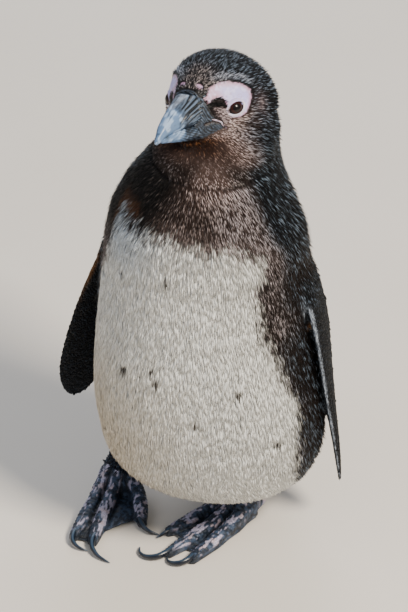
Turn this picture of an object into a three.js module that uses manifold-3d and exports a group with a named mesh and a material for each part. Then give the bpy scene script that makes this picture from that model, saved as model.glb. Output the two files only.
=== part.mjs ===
// A young African penguin at life size, standing upright with its head turned to its right.
// Millimetres, +Z up, the bird faces -Y and its left side is +X. It stands on the soles of its
// feet, whose flats all lie at Z = 0.
import * as THREE from "three";
import { mergeVertices } from "three/addons/utils/BufferGeometryUtils.js";
import Module from "manifold-3d";

const wasm = await Module();
wasm.setup();

// ---------------------------------------------------------------- driving dimensions
const GAP = 0.3; // clearance between neighbouring solids
const RING_POINTS = 28; // points round the trunk, neck and head

// Trunk and neck, as level sections. half: half width; front and back: reach from the
// body's upright axis; side: how far the section's middle lies to the bird's left.
const BODY_SECTIONS = [
  { z: 31, half: 26, front: 8, back: 44, side: 0 },
  { z: 36, half: 47, front: 26, back: 60, side: -1 },
  { z: 47, half: 69, front: 51, back: 73, side: -2 },
  { z: 66, half: 84, front: 71, back: 79, side: -2 },
  { z: 95, half: 91, front: 83, back: 79, side: -1.5 },
  { z: 130, half: 92, front: 89, back: 76, side: -3.5 },
  { z: 170, half: 88, front: 89, back: 71, side: -5.5 },
  { z: 210, half: 84, front: 86, back: 66, side: -5.5 },
  { z: 250, half: 80.5, front: 85, back: 61, side: -4.5 },
  { z: 280, half: 77, front: 84, back: 58, side: -4.5 },
  { z: 303, half: 69, front: 77, back: 56, side: -5 },
  { z: 322, half: 58, front: 61, back: 58, side: -4 },
  { z: 340, half: 48.5, front: 42, back: 62, side: 0.5 },
  { z: 356, half: 41, front: 22, back: 63, side: 4 },
  { z: 372, half: 28, front: 4, back: 54, side: 7 },
];
const BODY_BOTTOM = new THREE.Vector3(3, 12, 28);
const BODY_TOP = new THREE.Vector3(7, 24, 381);
const BODY_RINGS = 25;
const NECK_BASE = { point: [0, 0, 302], tilt: -12 }; // the cut between trunk and neck
const NECK_TOP = { point: [0, 14, 348], tilt: 10 }; // the cut between neck and head

// Head: its own frame has X towards the bill, Y to the bird's left and Z up, with its origin
// midway between the eyes.
const HEAD = { at: [-8, 3, 378.5], turn: 10, raise: 16, roll: 8 };
const HEAD_SECTIONS = [
  { x: -60, half: 19, top: 3, under: 32 },
  { x: -53, half: 30, top: 17, under: 42 },
  { x: -42, half: 36.5, top: 28, under: 47 },
  { x: -28, half: 37.5, top: 34.5, under: 48 },
  { x: -14, half: 37, top: 36, under: 46 },
  { x: -2, half: 33, top: 34, under: 42 },
  { x: 8, half: 26, top: 29.5, under: 36 },
  { x: 18, half: 19, top: 22.5, under: 29 },
  { x: 26, half: 13.5, top: 15.5, under: 24 },
  { x: 32, half: 9, top: 9.5, under: 20 },
];
const HEAD_BACK = -64;
const HEAD_FRONT = 34;
const HEAD_RINGS = 16;

// Bill: sections in the head's frame. The mouth line parts the two mandibles.
const BILL_UPPER = [
  { x: 3, half: 17, top: 0, under: -15.5 },
  { x: 12, half: 15.6, top: 7.5, under: -14.6 },
  { x: 22, half: 13, top: 12.6, under: -13.6 },
  { x: 32, half: 10.3, top: 12.2, under: -13 },
  { x: 42, half: 7.6, top: 9, under: -13 },
  { x: 53, half: 5.8, top: 4.2, under: -13.2 },
  { x: 62, half: 4.4, top: -1.4, under: -13.6 },
  { x: 68.5, half: 3.2, top: -7, under: -15.6 },
  { x: 72.4, half: 1.8, top: -12.2, under: -17.6 },
];
const BILL_UPPER_TIP = [73.8, -17];
const BILL_LOWER = [
  { x: 1, half: 16.5, top: -10, under: -22.4 },
  { x: 12, half: 14.6, top: -9, under: -23.4 },
  { x: 24, half: 11, top: -8, under: -23.2 },
  { x: 36, half: 8, top: -8, under: -22.2 },
  { x: 47, half: 5.8, top: -9, under: -20.8 },
  { x: 58, half: 4.2, top: -10, under: -19 },
  { x: 65, half: 2.8, top: -13, under: -18 },
];
const BILL_LOWER_TIP = [67.4, -16.8];
const BILL_POINTS = 14;
const BILL_RINGS = 11;

const EYE = { x: 1, out: 24.8, z: 0, radius: 7.2 };

// Flippers: the middle line runs from the shoulder to the tip; lead points from the middle
// line to the leading edge.
const FLIPPER_WIDTHS = [
  { t: 0, half: 16, thick: 7 },
  { t: 0.14, half: 20, thick: 7 },
  { t: 0.36, half: 24.5, thick: 6.2 },
  { t: 0.6, half: 23.5, thick: 5.2 },
  { t: 0.8, half: 20, thick: 4.2 },
  { t: 0.93, half: 14.5, thick: 3.2 },
  { t: 1, half: 7, thick: 2 },
];
const FLIPPERS = {
  flipper_left: {
    path: [[62, 8, 264], [77, 6, 235], [85.5, 10, 197], [89.5, 14, 155], [93.5, 17, 115], [97.5, 19, 78], [99.5, 21, 48]],
    lead: [[0.05, -1, 0], [0.34, -0.94, 0]],
  },
  flipper_right: {
    path: [[-72, 8, 262], [-80, 8, 225], [-93, 8, 180], [-105, 8, 142], [-117, 12, 104], [-125, 18, 76]],
    lead: [[-0.6, -0.8, 0], [-0.85, -0.5, 0]],
  },
};
const FLIPPER_RINGS = 14;
const FLIPPER_POINTS = 14;

// Legs and feet. Each foot's frame has X towards its middle toe and Y to the bird's left.
const FEET = {
  left: { side: 1, at: [22, 9], turn: 22, toes: { inner: 11, middle: 1, outer: -7 }, leg: [24, 20, 62] },
  right: { side: -1, at: [-84, 8], turn: -6, toes: { inner: 31, middle: 0, outer: -3 }, leg: [-60, 16, 66] },
};
const TOE_LENGTH = { inner: 57, middle: 76, outer: 72 };
const TOE_ROOT = { inner: 10, middle: 0, outer: -9 }; // across the foot
const TOE_HALF = 7.4;
const TOE_HEIGHT = [19, 8.5];
const LEG = { top: 26, ankle: 14, cut: 25 }; // radii, and the height where the foot begins
const CLAW = { radius: 2.8, tip: 0.7 };
const CLAW_REACH = { inner: [12, 6], middle: [20, 15], outer: [14, 10] }; // forward, then inward
const TOE_RINGS = 7;
const HEEL = [
  { x: -24, half: 5, height: 12 },
  { x: -18, half: 10, height: 19 },
  { x: -6, half: 13.5, height: 24 },
  { x: 6, half: 15, height: 23 },
  { x: 18, half: 14, height: 18 },
];
const WEB = { thick: 2.6, reach: 0.88, lift: 2 };

const TAIL = { root: [0, 74, 62], tip: [2, 118, 9], half: [32, 10], thick: [17, 2.6] };

const COLOURS = {
  dark: 0x2b2a2f,
  brown: 0x3a2e2a,
  white: 0xcfc9b8,
  bill: 0x4a5260,
  eye: 0x1c0f0b,
  foot: 0x3d3f49,
  claw: 0x1f2430,
};

// ---------------------------------------------------------------- helpers
const vector = (p) => new THREE.Vector3(...p);

// A smooth curve through named stations: returns every key of a station at a value of `along`.
function between(stations, along, value) {
  const last = stations.length - 1;
  let i = 0;
  while (i < last - 1 && value > stations[i + 1][along]) i += 1;
  const [a, b] = [stations[i], stations[i + 1]];
  const span = b[along] - a[along];
  const s = THREE.MathUtils.clamp((value - a[along]) / span, 0, 1);
  const before = stations[Math.max(i - 1, 0)];
  const after = stations[Math.min(i + 2, last)];
  const found = {};
  for (const key of Object.keys(a)) {
    const slopeA = ((b[key] - before[key]) / Math.max(b[along] - before[along], 1e-6)) * span;
    const slopeB = ((after[key] - a[key]) / Math.max(after[along] - a[along], 1e-6)) * span;
    const [s2, s3] = [s * s, s * s * s];
    found[key] =
      (2 * s3 - 3 * s2 + 1) * a[key] +
      (s3 - 2 * s2 + s) * slopeA +
      (3 * s2 - 2 * s3) * b[key] +
      (s3 - s2) * slopeB;
  }
  return found;
}

// A closed skin over rings with the same number of points, closed by a point at each end.
function loft(rings, start, end) {
  const count = rings[0].length;
  const points = [start, ...rings.flat(), end];
  const index = [];
  const at = (ring, k) => 1 + ring * count + (k % count);
  for (let k = 0; k < count; k += 1) {
    index.push(0, at(0, k + 1), at(0, k));
    index.push(points.length - 1, at(rings.length - 1, k), at(rings.length - 1, k + 1));
    for (let ring = 0; ring < rings.length - 1; ring += 1) {
      index.push(at(ring, k), at(ring, k + 1), at(ring + 1, k + 1));
      index.push(at(ring, k), at(ring + 1, k + 1), at(ring + 1, k));
    }
  }
  return new THREE.BufferGeometry().setFromPoints(points).setIndex(index);
}

// A geometry as a manifold-3d solid, turned to face out.
function solidOf(geometry) {
  const bare = geometry.clone();
  bare.deleteAttribute("normal");
  bare.deleteAttribute("uv");
  const merged = mergeVertices(bare, 1e-3);
  const triVerts = new Uint32Array(merged.index.array);
  const vertProperties = new Float32Array(merged.attributes.position.array);
  const build = () => new wasm.Manifold(new wasm.Mesh({ numProp: 3, vertProperties, triVerts }));
  let solid = build();
  if (solid.volume() < 0) {
    for (let i = 0; i < triVerts.length; i += 3) {
      [triVerts[i + 1], triVerts[i + 2]] = [triVerts[i + 2], triVerts[i + 1]];
    }
    solid = build();
  }
  return solid;
}

// A solid back to a three.js geometry.
function geometryOf(solid) {
  const mesh = solid.getMesh();
  const geometry = new THREE.BufferGeometry();
  geometry.setAttribute("position", new THREE.BufferAttribute(new Float32Array(mesh.vertProperties), 3));
  geometry.setIndex(new THREE.BufferAttribute(new Uint32Array(mesh.triVerts), 1));
  geometry.computeVertexNormals();
  return geometry;
}

// The largest of a solid's separate bodies.
function largest(solid) {
  return solid.decompose().sort((a, b) => b.volume() - a.volume())[0];
}

// Everything on one side of a plane, as a box. The plane is tilted nose-up about X by `tilt`
// degrees; `side` is +1 for above and -1 for below, and half the gap is left free.
function halfSpace({ point, tilt }, side) {
  const reach = 900;
  const box = new THREE.BoxGeometry(reach, reach, reach);
  box.translate(0, 0, side * (reach / 2 + GAP / 2));
  box.rotateX(THREE.MathUtils.degToRad(tilt));
  box.translate(...point);
  return solidOf(box);
}

// ---------------------------------------------------------------- trunk, neck and head
function levelRing(section, grow = 0) {
  const ring = [];
  for (let k = 0; k < RING_POINTS; k += 1) {
    const angle = (2 * Math.PI * k) / RING_POINTS;
    const [c, s] = [Math.cos(angle), Math.sin(angle)];
    const reach = s > 0 ? section.back : section.front;
    ring.push(new THREE.Vector3(section.side + (section.half + grow) * c, (reach + grow) * s, section.z));
  }
  return ring;
}

function bodySolid() {
  const first = BODY_SECTIONS[0].z;
  const last = BODY_SECTIONS[BODY_SECTIONS.length - 1].z;
  const rings = [];
  for (let i = 0; i < BODY_RINGS; i += 1) {
    const u = i / (BODY_RINGS - 1);
    const eased = u - 0.12 * Math.sin(2 * Math.PI * u); // closer rings at both ends
    rings.push(levelRing(between(BODY_SECTIONS, "z", first + (last - first) * eased)));
  }
  return solidOf(loft(rings, BODY_BOTTOM, BODY_TOP));
}

const headMatrix = new THREE.Matrix4()
  .makeTranslation(vector(HEAD.at))
  .multiply(new THREE.Matrix4().makeRotationZ(THREE.MathUtils.degToRad(-90 - HEAD.turn)))
  .multiply(new THREE.Matrix4().makeRotationY(THREE.MathUtils.degToRad(-HEAD.raise)))
  .multiply(new THREE.Matrix4().makeRotationX(THREE.MathUtils.degToRad(HEAD.roll)));

function uprightRing(section, points, grow, square) {
  const ring = [];
  for (let k = 0; k < points; k += 1) {
    const angle = (2 * Math.PI * k) / points;
    const [c, s] = [Math.cos(angle), Math.sin(angle)];
    const middle = section.middle;
    const reach = s > 0 ? section.top - middle : middle - section.bottom;
    ring.push(
      new THREE.Vector3(
        section.x,
        (section.half + grow) * Math.sign(c) * Math.abs(c) ** square,
        middle + (reach + grow) * Math.sign(s) * Math.abs(s) ** square,
      ),
    );
  }
  return ring;
}

function headSolid() {
  const rings = [];
  const first = HEAD_SECTIONS[0].x;
  const last = HEAD_SECTIONS[HEAD_SECTIONS.length - 1].x;
  for (let i = 0; i < HEAD_RINGS; i += 1) {
    const x = first + ((last - first) * i) / (HEAD_RINGS - 1);
    const s = between(HEAD_SECTIONS, "x", x);
    rings.push(uprightRing({ x, half: s.half, top: s.top, bottom: -s.under, middle: -6 }, RING_POINTS, 0, 0.94));
  }
  const start = new THREE.Vector3(HEAD_BACK, 0, -8);
  const end = new THREE.Vector3(HEAD_FRONT, 0, -7);
  return solidOf(loft(rings, start, end).applyMatrix4(headMatrix));
}

function mandible(sections, tip, grow) {
  const rings = [];
  const first = sections[0].x;
  const last = sections[sections.length - 1].x;
  for (let i = 0; i < BILL_RINGS; i += 1) {
    const x = first + ((last - first) * i) / (BILL_RINGS - 1);
    const s = between(sections, "x", x);
    const section = { x, half: s.half, top: s.top, bottom: s.under, middle: (s.top + s.under) / 2 };
    rings.push(uprightRing(section, BILL_POINTS, grow, 0.82));
  }
  const start = new THREE.Vector3(first - grow, 0, (sections[0].top + sections[0].under) / 2);
  const end = new THREE.Vector3(tip[0] + grow, 0, tip[1]);
  return solidOf(loft(rings, start, end).applyMatrix4(headMatrix));
}

function eyeSolid(side, grow) {
  const ball = new THREE.SphereGeometry(EYE.radius + grow, 14, 10);
  ball.translate(EYE.x, side * EYE.out, EYE.z);
  return solidOf(ball.applyMatrix4(headMatrix));
}

// ---------------------------------------------------------------- flippers
function flipperSolid({ path, lead }, grow) {
  const line = new THREE.CatmullRomCurve3(path.map(vector));
  const rings = [];
  const [from, to] = lead.map((v) => vector(v).normalize());
  const length = line.getLength();
  for (let i = 0; i < FLIPPER_RINGS; i += 1) {
    const t = 1 - (1 - i / (FLIPPER_RINGS - 1)) ** 1.25;
    const { half, thick } = between(FLIPPER_WIDTHS, "t", t);
    const centre = line.getPointAt(t);
    const along = line.getTangentAt(t);
    const chord = from.clone().lerp(to, t);
    chord.addScaledVector(along, -chord.dot(along)).normalize();
    const face = new THREE.Vector3().crossVectors(along, chord);
    const ring = [];
    for (let k = 0; k < FLIPPER_POINTS; k += 1) {
      const angle = (2 * Math.PI * k) / FLIPPER_POINTS;
      const [c, s] = [Math.cos(angle), Math.sin(angle)];
      // Thicker towards the leading edge, thin along the trailing one.
      const depth = (thick + grow) * (0.62 + 0.38 * c) * s;
      ring.push(centre.clone().addScaledVector(chord, (half + grow) * c).addScaledVector(face, depth));
    }
    rings.push(ring);
  }
  const start = line.getPointAt(0).addScaledVector(line.getTangentAt(0), -2 - grow);
  const end = line.getPointAt(1).addScaledVector(line.getTangentAt(1), 0.012 * length + grow);
  return solidOf(loft(rings, start, end));
}

// ---------------------------------------------------------------- legs, feet and claws
const ground = solidOf(new THREE.BoxGeometry(900, 900, 100).translate(0, 0, -50));

function footMatrix(foot) {
  return new THREE.Matrix4()
    .makeTranslation(foot.at[0], foot.at[1], 0)
    .multiply(new THREE.Matrix4().makeRotationZ(THREE.MathUtils.degToRad(-90 - foot.turn)));
}

// A toe lies on the floor: its sections are flat-bottomed ovals that get lower to the front.
function toeSolid(foot, toe) {
  const turn = THREE.MathUtils.degToRad(foot.toes[toe] * -foot.side);
  const rings = [];
  for (let i = 0; i < TOE_RINGS; i += 1) {
    const t = i / (TOE_RINGS - 1);
    const height = THREE.MathUtils.lerp(TOE_HEIGHT[0], TOE_HEIGHT[1], Math.min(1, t * 1.15) ** 0.8);
    const knuckle = 1 + 0.08 * Math.cos(t * Math.PI * 6);
    const half = TOE_HALF * (1 - 0.25 * t) * knuckle;
    const section = { x: TOE_LENGTH[toe] * t, half, top: height, bottom: -1.2, middle: 0.35 * height };
    rings.push(uprightRing(section, 10, 0, 0.9));
  }
  const start = new THREE.Vector3(-2, 0, 0.35 * TOE_HEIGHT[0]);
  const end = new THREE.Vector3(TOE_LENGTH[toe] + 2.4, 0, 0.35 * TOE_HEIGHT[1]);
  const toeSkin = loft(rings, start, end);
  toeSkin.rotateZ(turn);
  toeSkin.translate(0, -foot.side * TOE_ROOT[toe], 0);
  return solidOf(toeSkin.applyMatrix4(footMatrix(foot)));
}

// A claw leaves the toe's end and curves inward and down to the floor.
function clawSolid(foot, toe, grow) {
  const turn = THREE.MathUtils.degToRad(foot.toes[toe] * -foot.side);
  const forward = new THREE.Vector3(Math.cos(turn), Math.sin(turn), 0);
  const inward = new THREE.Vector3(-Math.sin(turn), Math.cos(turn), 0).multiplyScalar(-foot.side);
  const [ahead, aside] = CLAW_REACH[toe];
  const root = forward.clone().multiplyScalar(TOE_LENGTH[toe] * 0.96);
  root.add(new THREE.Vector3(0, -foot.side * TOE_ROOT[toe], 5.2));
  const bend = root.clone().addScaledVector(forward, ahead);
  const tip = bend.clone().addScaledVector(inward, aside).addScaledVector(forward, -0.1 * aside);
  bend.z += 3.4;
  tip.z = CLAW.tip;
  const curve = new THREE.QuadraticBezierCurve3(root, bend, tip);
  const rings = [];
  const steps = 6;
  for (let i = 0; i < steps; i += 1) {
    const t = i / (steps - 1);
    const radius = THREE.MathUtils.lerp(CLAW.radius, CLAW.tip, t ** 1.2) + grow;
    const centre = curve.getPointAt(t);
    const tangent = curve.getTangentAt(t);
    const side = new THREE.Vector3().crossVectors(new THREE.Vector3(0, 0, 1), tangent).normalize();
    const up = new THREE.Vector3().crossVectors(tangent, side);
    const ring = [];
    for (let k = 0; k < 8; k += 1) {
      const a = (2 * Math.PI * k) / 8;
      ring.push(centre.clone().addScaledVector(side, 0.85 * radius * Math.cos(a)).addScaledVector(up, 1.1 * radius * Math.sin(a)));
    }
    rings.push(ring);
  }
  const start = curve.getPointAt(0).addScaledVector(curve.getTangentAt(0), -0.5 - grow);
  const end = curve.getPointAt(1).addScaledVector(curve.getTangentAt(1), 0.5 + grow);
  return solidOf(loft(rings, start, end).applyMatrix4(footMatrix(foot))).subtract(ground);
}

// The web between two toes: a thin wedge with a hollow front edge.
function webSolid(foot, a, b) {
  const corner = (toe, share) => {
    const turn = THREE.MathUtils.degToRad(foot.toes[toe] * -foot.side);
    const along = TOE_LENGTH[toe] * share;
    return new THREE.Vector2(along * Math.cos(turn), -foot.side * TOE_ROOT[toe] + along * Math.sin(turn));
  };
  const shape = new THREE.Shape();
  const [a0, a1, b0, b1] = [corner(a, 0.1), corner(a, WEB.reach), corner(b, 0.1), corner(b, WEB.reach)];
  const hollow = a1.clone().add(b1).multiplyScalar(0.465);
  shape.moveTo(a0.x, a0.y);
  shape.lineTo(a1.x, a1.y);
  shape.quadraticCurveTo(hollow.x, hollow.y, b1.x, b1.y);
  shape.lineTo(b0.x, b0.y);
  shape.closePath();
  const web = new THREE.ExtrudeGeometry(shape, { depth: WEB.thick, bevelEnabled: false, curveSegments: 5 });
  web.translate(0, 0, WEB.lift);
  return solidOf(web.applyMatrix4(footMatrix(foot)));
}

function footSolids(foot) {
  const matrix = footMatrix(foot);
  const rings = [];
  const [first, last] = [HEEL[0].x, HEEL[HEEL.length - 1].x];
  for (let i = 0; i < 6; i += 1) {
    const x = first + ((last - first) * i) / 5;
    const { half, height } = between(HEEL, "x", x);
    const section = { x, half, top: height, bottom: -1.2, middle: 0.4 * height };
    rings.push(uprightRing(section, 12, 0, 0.9));
  }
  const [back, front] = [new THREE.Vector3(first - 2, 0, 5), new THREE.Vector3(last + 2, 0, 7)];
  let sole = solidOf(loft(rings, back, front).applyMatrix4(matrix));
  for (const toe of Object.keys(TOE_LENGTH)) {
    sole = sole.add(toeSolid(foot, toe));
  }
  sole = sole.add(webSolid(foot, "inner", "middle")).add(webSolid(foot, "middle", "outer"));
  const claws = [];
  for (const toe of Object.keys(TOE_LENGTH)) {
    claws.push([toe, clawSolid(foot, toe, 0)]);
    sole = sole.subtract(clawSolid(foot, toe, GAP));
  }
  return { sole: sole.subtract(ground), claws };
}

function legSolid(foot, grow) {
  const top = vector(foot.leg);
  const low = new THREE.Vector3(foot.at[0], foot.at[1], 12);
  const rings = [];
  for (let i = 0; i < 5; i += 1) {
    const t = i / 4;
    const radius = THREE.MathUtils.lerp(LEG.top, LEG.ankle, t ** 0.8) + grow;
    const centre = top.clone().lerp(low, t);
    const ring = [];
    for (let k = 0; k < 16; k += 1) {
      const a = (2 * Math.PI * k) / 16;
      ring.push(centre.clone().add(new THREE.Vector3(radius * Math.cos(a), radius * Math.sin(a), 0)));
    }
    rings.push(ring);
  }
  const above = new THREE.Vector3(0, 0, 4 + grow);
  return solidOf(loft(rings, top.clone().add(above), low.clone().sub(above)));
}

// ---------------------------------------------------------------- tail
function tailSolid(grow) {
  const [root, tip] = [vector(TAIL.root), vector(TAIL.tip)];
  const along = tip.clone().sub(root).normalize();
  const across = new THREE.Vector3(1, 0, 0);
  const face = new THREE.Vector3().crossVectors(along, across).normalize();
  const rings = [];
  for (let i = 0; i < 6; i += 1) {
    const t = i / 5;
    const centre = root.clone().lerp(tip, t);
    const half = THREE.MathUtils.lerp(TAIL.half[0], TAIL.half[1], t ** 1.1) + grow;
    const thick = THREE.MathUtils.lerp(TAIL.thick[0], TAIL.thick[1], t ** 0.7) + grow;
    const ring = [];
    for (let k = 0; k < 14; k += 1) {
      const a = (2 * Math.PI * k) / 14;
      ring.push(centre.clone().addScaledVector(across, half * Math.cos(a)).addScaledVector(face, thick * Math.sin(a)));
    }
    rings.push(ring);
  }
  const start = root.clone().addScaledVector(along, -2 - grow);
  return solidOf(loft(rings, start, tip.clone().addScaledVector(along, 3 + grow)));
}

// ---------------------------------------------------------------- assembly
const solids = {};
const whole = bodySolid().add(headSolid());
solids.trunk = largest(whole.intersect(halfSpace(NECK_BASE, -1)));
solids.neck = largest(whole.intersect(halfSpace(NECK_BASE, 1)).intersect(halfSpace(NECK_TOP, -1)));
let head = whole.intersect(halfSpace(NECK_TOP, 1));
solids.bill_lower = mandible(BILL_LOWER, BILL_LOWER_TIP, 0).subtract(mandible(BILL_UPPER, BILL_UPPER_TIP, GAP));
solids.bill_upper = mandible(BILL_UPPER, BILL_UPPER_TIP, 0);
head = head.subtract(mandible(BILL_UPPER, BILL_UPPER_TIP, GAP)).subtract(mandible(BILL_LOWER, BILL_LOWER_TIP, GAP));
for (const [name, side] of [["eye_left", 1], ["eye_right", -1]]) {
  solids[name] = eyeSolid(side, 0);
  head = head.subtract(eyeSolid(side, GAP));
}
solids.head = largest(head);

for (const [name, flipper] of Object.entries(FLIPPERS)) {
  solids[name] = flipperSolid(flipper, 0);
  solids.trunk = largest(solids.trunk.subtract(flipperSolid(flipper, GAP)));
}

const ankle = { point: [0, 0, LEG.cut], tilt: 0 };
for (const [name, foot] of Object.entries(FEET)) {
  const { sole, claws } = footSolids(foot);
  const leg = legSolid(foot, 0);
  solids["foot_" + name] = largest(sole.add(leg).intersect(halfSpace(ankle, -1)));
  solids["leg_" + name] = largest(leg.intersect(halfSpace(ankle, 1)));
  solids.trunk = largest(solids.trunk.subtract(legSolid(foot, GAP)));
  for (const [toe, claw] of claws) solids["claw_" + name + "_" + toe] = largest(claw);
}
solids.tail = largest(tailSolid(0).subtract(ground));
solids.trunk = largest(solids.trunk.subtract(tailSolid(GAP)));

const FINISHES = {
  trunk: ["white", 0.9],
  neck: ["brown", 0.9],
  head: ["dark", 0.85],
  bill: ["bill", 0.45],
  eye: ["eye", 0.1],
  tail: ["dark", 0.8],
  flipper: ["dark", 0.7],
  leg: ["dark", 0.8],
  foot: ["foot", 0.6],
  claw: ["claw", 0.4],
};

const penguin = new THREE.Group();
penguin.name = "penguin";
for (const [name, solid] of Object.entries(solids)) {
  const [colour, roughness] = FINISHES[name.split("_")[0]];
  const material = new THREE.MeshStandardMaterial({ color: COLOURS[colour], roughness, metalness: 0 });
  const mesh = new THREE.Mesh(geometryOf(solid), material);
  mesh.name = name;
  penguin.add(mesh);
}

// The model's origin is the middle of its box, at floor level.
const box = new THREE.Box3().setFromObject(penguin);
const centre = box.getCenter(new THREE.Vector3());
penguin.position.set(-centre.x, -centre.y, -box.min.z);

export default penguin;
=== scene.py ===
# %% [markdown]
# # A young african penguin, life size
#
# This script dresses a plain solid model of a standing penguin. The solids give the size and the
# place of every part. Here they get one continuous skin, about 160,000 small feathers, a horny
# bill, wet eyes, scaly webbed feet and claws.
#
# The frame is the model's own: metres, Z up, the bird looks roughly along -Y, and its left side
# is on +X. All the shaping below is done in millimetres, and turned to metres at the end.

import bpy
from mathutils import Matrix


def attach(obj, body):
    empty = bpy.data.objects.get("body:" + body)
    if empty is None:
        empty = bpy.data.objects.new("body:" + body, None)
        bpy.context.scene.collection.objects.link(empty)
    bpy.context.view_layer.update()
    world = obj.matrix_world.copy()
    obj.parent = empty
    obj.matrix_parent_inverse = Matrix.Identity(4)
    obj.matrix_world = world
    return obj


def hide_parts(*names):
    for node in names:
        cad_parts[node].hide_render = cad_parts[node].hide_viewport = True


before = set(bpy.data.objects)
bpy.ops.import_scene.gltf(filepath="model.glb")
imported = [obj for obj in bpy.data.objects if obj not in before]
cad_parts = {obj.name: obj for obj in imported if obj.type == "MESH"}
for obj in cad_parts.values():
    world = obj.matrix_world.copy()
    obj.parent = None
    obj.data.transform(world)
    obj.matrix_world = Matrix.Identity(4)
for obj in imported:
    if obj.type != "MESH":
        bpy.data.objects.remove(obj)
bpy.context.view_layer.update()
print("solids:", sorted(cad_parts))

# %% Tools this script is built on
import math

import bmesh
import bpy
import numpy as np
from mathutils import Vector
from mathutils.bvhtree import BVHTree
from mathutils.kdtree import KDTree

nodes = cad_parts
MM = 0.001
print("a millimetre in the frame's metres:", MM)

# %% [markdown]
# ## Small helpers
#
# Colours are written as sRGB hex codes, because that is how one reads a colour off a screen, and
# one function turns them to the linear values that Blender works in. Every marking on the bird is
# a function of place: `ramp` fades between two limits and `mottle` is a smooth random field, made
# from a hash of the lattice corners, so that it is the same on every run.

# %% Colour, fades and a smooth random field
def hex_rgb(code):
    """Linear RGB of an sRGB hex code."""
    part = np.array([int(code[i : i + 2], 16) for i in (1, 3, 5)]) / 255
    return np.where(part <= 0.04045, part / 12.92, ((part + 0.055) / 1.055) ** 2.4)


def rgba(code):
    return (*hex_rgb(code), 1.0)


def ramp(low, high, value):
    """0 at low, 1 at high, smooth between."""
    t = np.clip((value - low) / (high - low), 0, 1)
    return t * t * (3 - 2 * t)


def bell(distance, width):
    """1 at no distance, falling smoothly to nothing beyond the width."""
    return np.exp(-((distance / width) ** 2))


def unit(vectors):
    return vectors / np.maximum(np.linalg.norm(vectors, axis=-1, keepdims=True), 1e-9)


def mixed(first, second, share):
    """Blend of two colours, or of two columns of colours."""
    share = np.asarray(share)[..., None]
    return first * (1 - share) + second * share


def layered(base, *steps):
    """Starts from one value and fades to each next one by its share."""
    value = base + 0.0 * steps[0][1]
    for goal, share in steps:
        value = value * (1 - share) + goal * share
    return value


def painted(colour, count, *steps):
    """Starts from one colour at every point and fades to each next one by its share."""
    value = np.tile(hex_rgb(colour), (count, 1)) if isinstance(colour, str) else colour
    for code, share in steps:
        value = mixed(value, hex_rgb(code), share)
    return value


def mottle(points, size, seed):
    """Smooth random field from -1 to 1 with lumps of about this size in millimetres."""
    scaled = points / size + 31.7 * seed
    corner = np.floor(scaled)
    inside = scaled - corner
    inside = inside * inside * (3 - 2 * inside)
    total = np.zeros(len(points))
    for step in np.ndindex(2, 2, 2):
        place = corner + step
        hashed = np.sin(place @ np.array([12.9898, 78.233, 37.719]) + seed) * 43758.5453
        weight = np.prod(np.where(step, inside, 1 - inside), axis=1)
        total += weight * (2 * (hashed - np.floor(hashed)) - 1)
    return total


print("linear value of mid grey:", hex_rgb("#808080")[0].round(3))

# %% [markdown]
# ## The bird's own coordinates
#
# Markings sit on the bird, not in the room. Round the trunk, a place is an angle from the breast
# bone (plus to the bird's left) and a height. On the head it is x towards the bill, y to the
# bird's left and z up, from a point midway between the eyes.

# %% Head axes and the angle round the trunk
HEAD_AT = np.array([6.52, -12.20, 378.5])
HEAD_TURN, HEAD_RAISE, HEAD_ROLL = np.radians([-100, -16, 8])
TRUNK_AT = np.array([14.5, -15.2])


def turning(axis, angle):
    c, s = math.cos(angle), math.sin(angle)
    i, j = [(1, 2), (2, 0), (0, 1)][axis]
    matrix = np.eye(3)
    matrix[i, i] = matrix[j, j] = c
    matrix[i, j], matrix[j, i] = -s, s
    return matrix


HEAD_AXES = turning(2, HEAD_TURN) @ turning(1, HEAD_RAISE) @ turning(0, HEAD_ROLL)


def to_head(points):
    return (points - HEAD_AT) @ HEAD_AXES


def from_head(points):
    return HEAD_AT + points @ HEAD_AXES.T


def round_trunk(points):
    """Angle from the breast bone, in degrees."""
    across, back = points[:, 0] - TRUNK_AT[0], points[:, 1] - TRUNK_AT[1]
    return np.degrees(np.arctan2(across, -back))


print("bill points along", HEAD_AXES[:, 0].round(2))

# %% [markdown]
# ## Camera, light and floor
#
# The view is from a person's height, looking down at a bird that reaches the knee: 34 degrees
# above the horizon and 20 degrees to the bird's left, with a long lens from 2.6 m. Light comes
# from one big soft box high on the right and behind the camera, with two weaker ones to open
# the shadows.

# %% Camera
TARGET = np.array([7.95, -17.65, 200.0])
DISTANCE, LENS = 2600, 198
AZIMUTH, ELEVATION = np.radians([20, 34])
toward_camera = np.array(
    [
        math.sin(AZIMUTH) * math.cos(ELEVATION),
        -math.cos(AZIMUTH) * math.cos(ELEVATION),
        math.sin(ELEVATION),
    ]
)
camera = bpy.data.objects.new("camera", bpy.data.cameras.new("camera"))
camera.data.lens = LENS
camera.data.sensor_width = 36
camera.location = (TARGET + toward_camera * DISTANCE) * MM
camera.rotation_euler = (-Vector(toward_camera)).to_track_quat("-Z", "Y").to_euler()
bpy.context.scene.collection.objects.link(camera)
bpy.context.scene.camera = camera
print("camera at", [round(v, 3) for v in camera.location])

# %% Lights
def soft_box(name, place, size, power, colour):
    lamp = bpy.data.lights.new(name, "AREA")
    lamp.size = size
    lamp.energy = power
    lamp.color = hex_rgb(colour)
    thing = bpy.data.objects.new(name, lamp)
    thing.location = place
    thing.rotation_euler = (Vector((0, 0, 0.2)) - Vector(place)).to_track_quat("-Z", "Y").to_euler()
    bpy.context.scene.collection.objects.link(thing)


soft_box("key_light", (1.6, -0.7, 2.0), 0.6, 112, "#FFF4E4")
soft_box("fill_light", (-1.6, -1.8, 1.3), 1.8, 15, "#E6EEFF")
soft_box("rim_light", (-0.6, 2.0, 1.7), 1.4, 36, "#F4F7FF")

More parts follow.
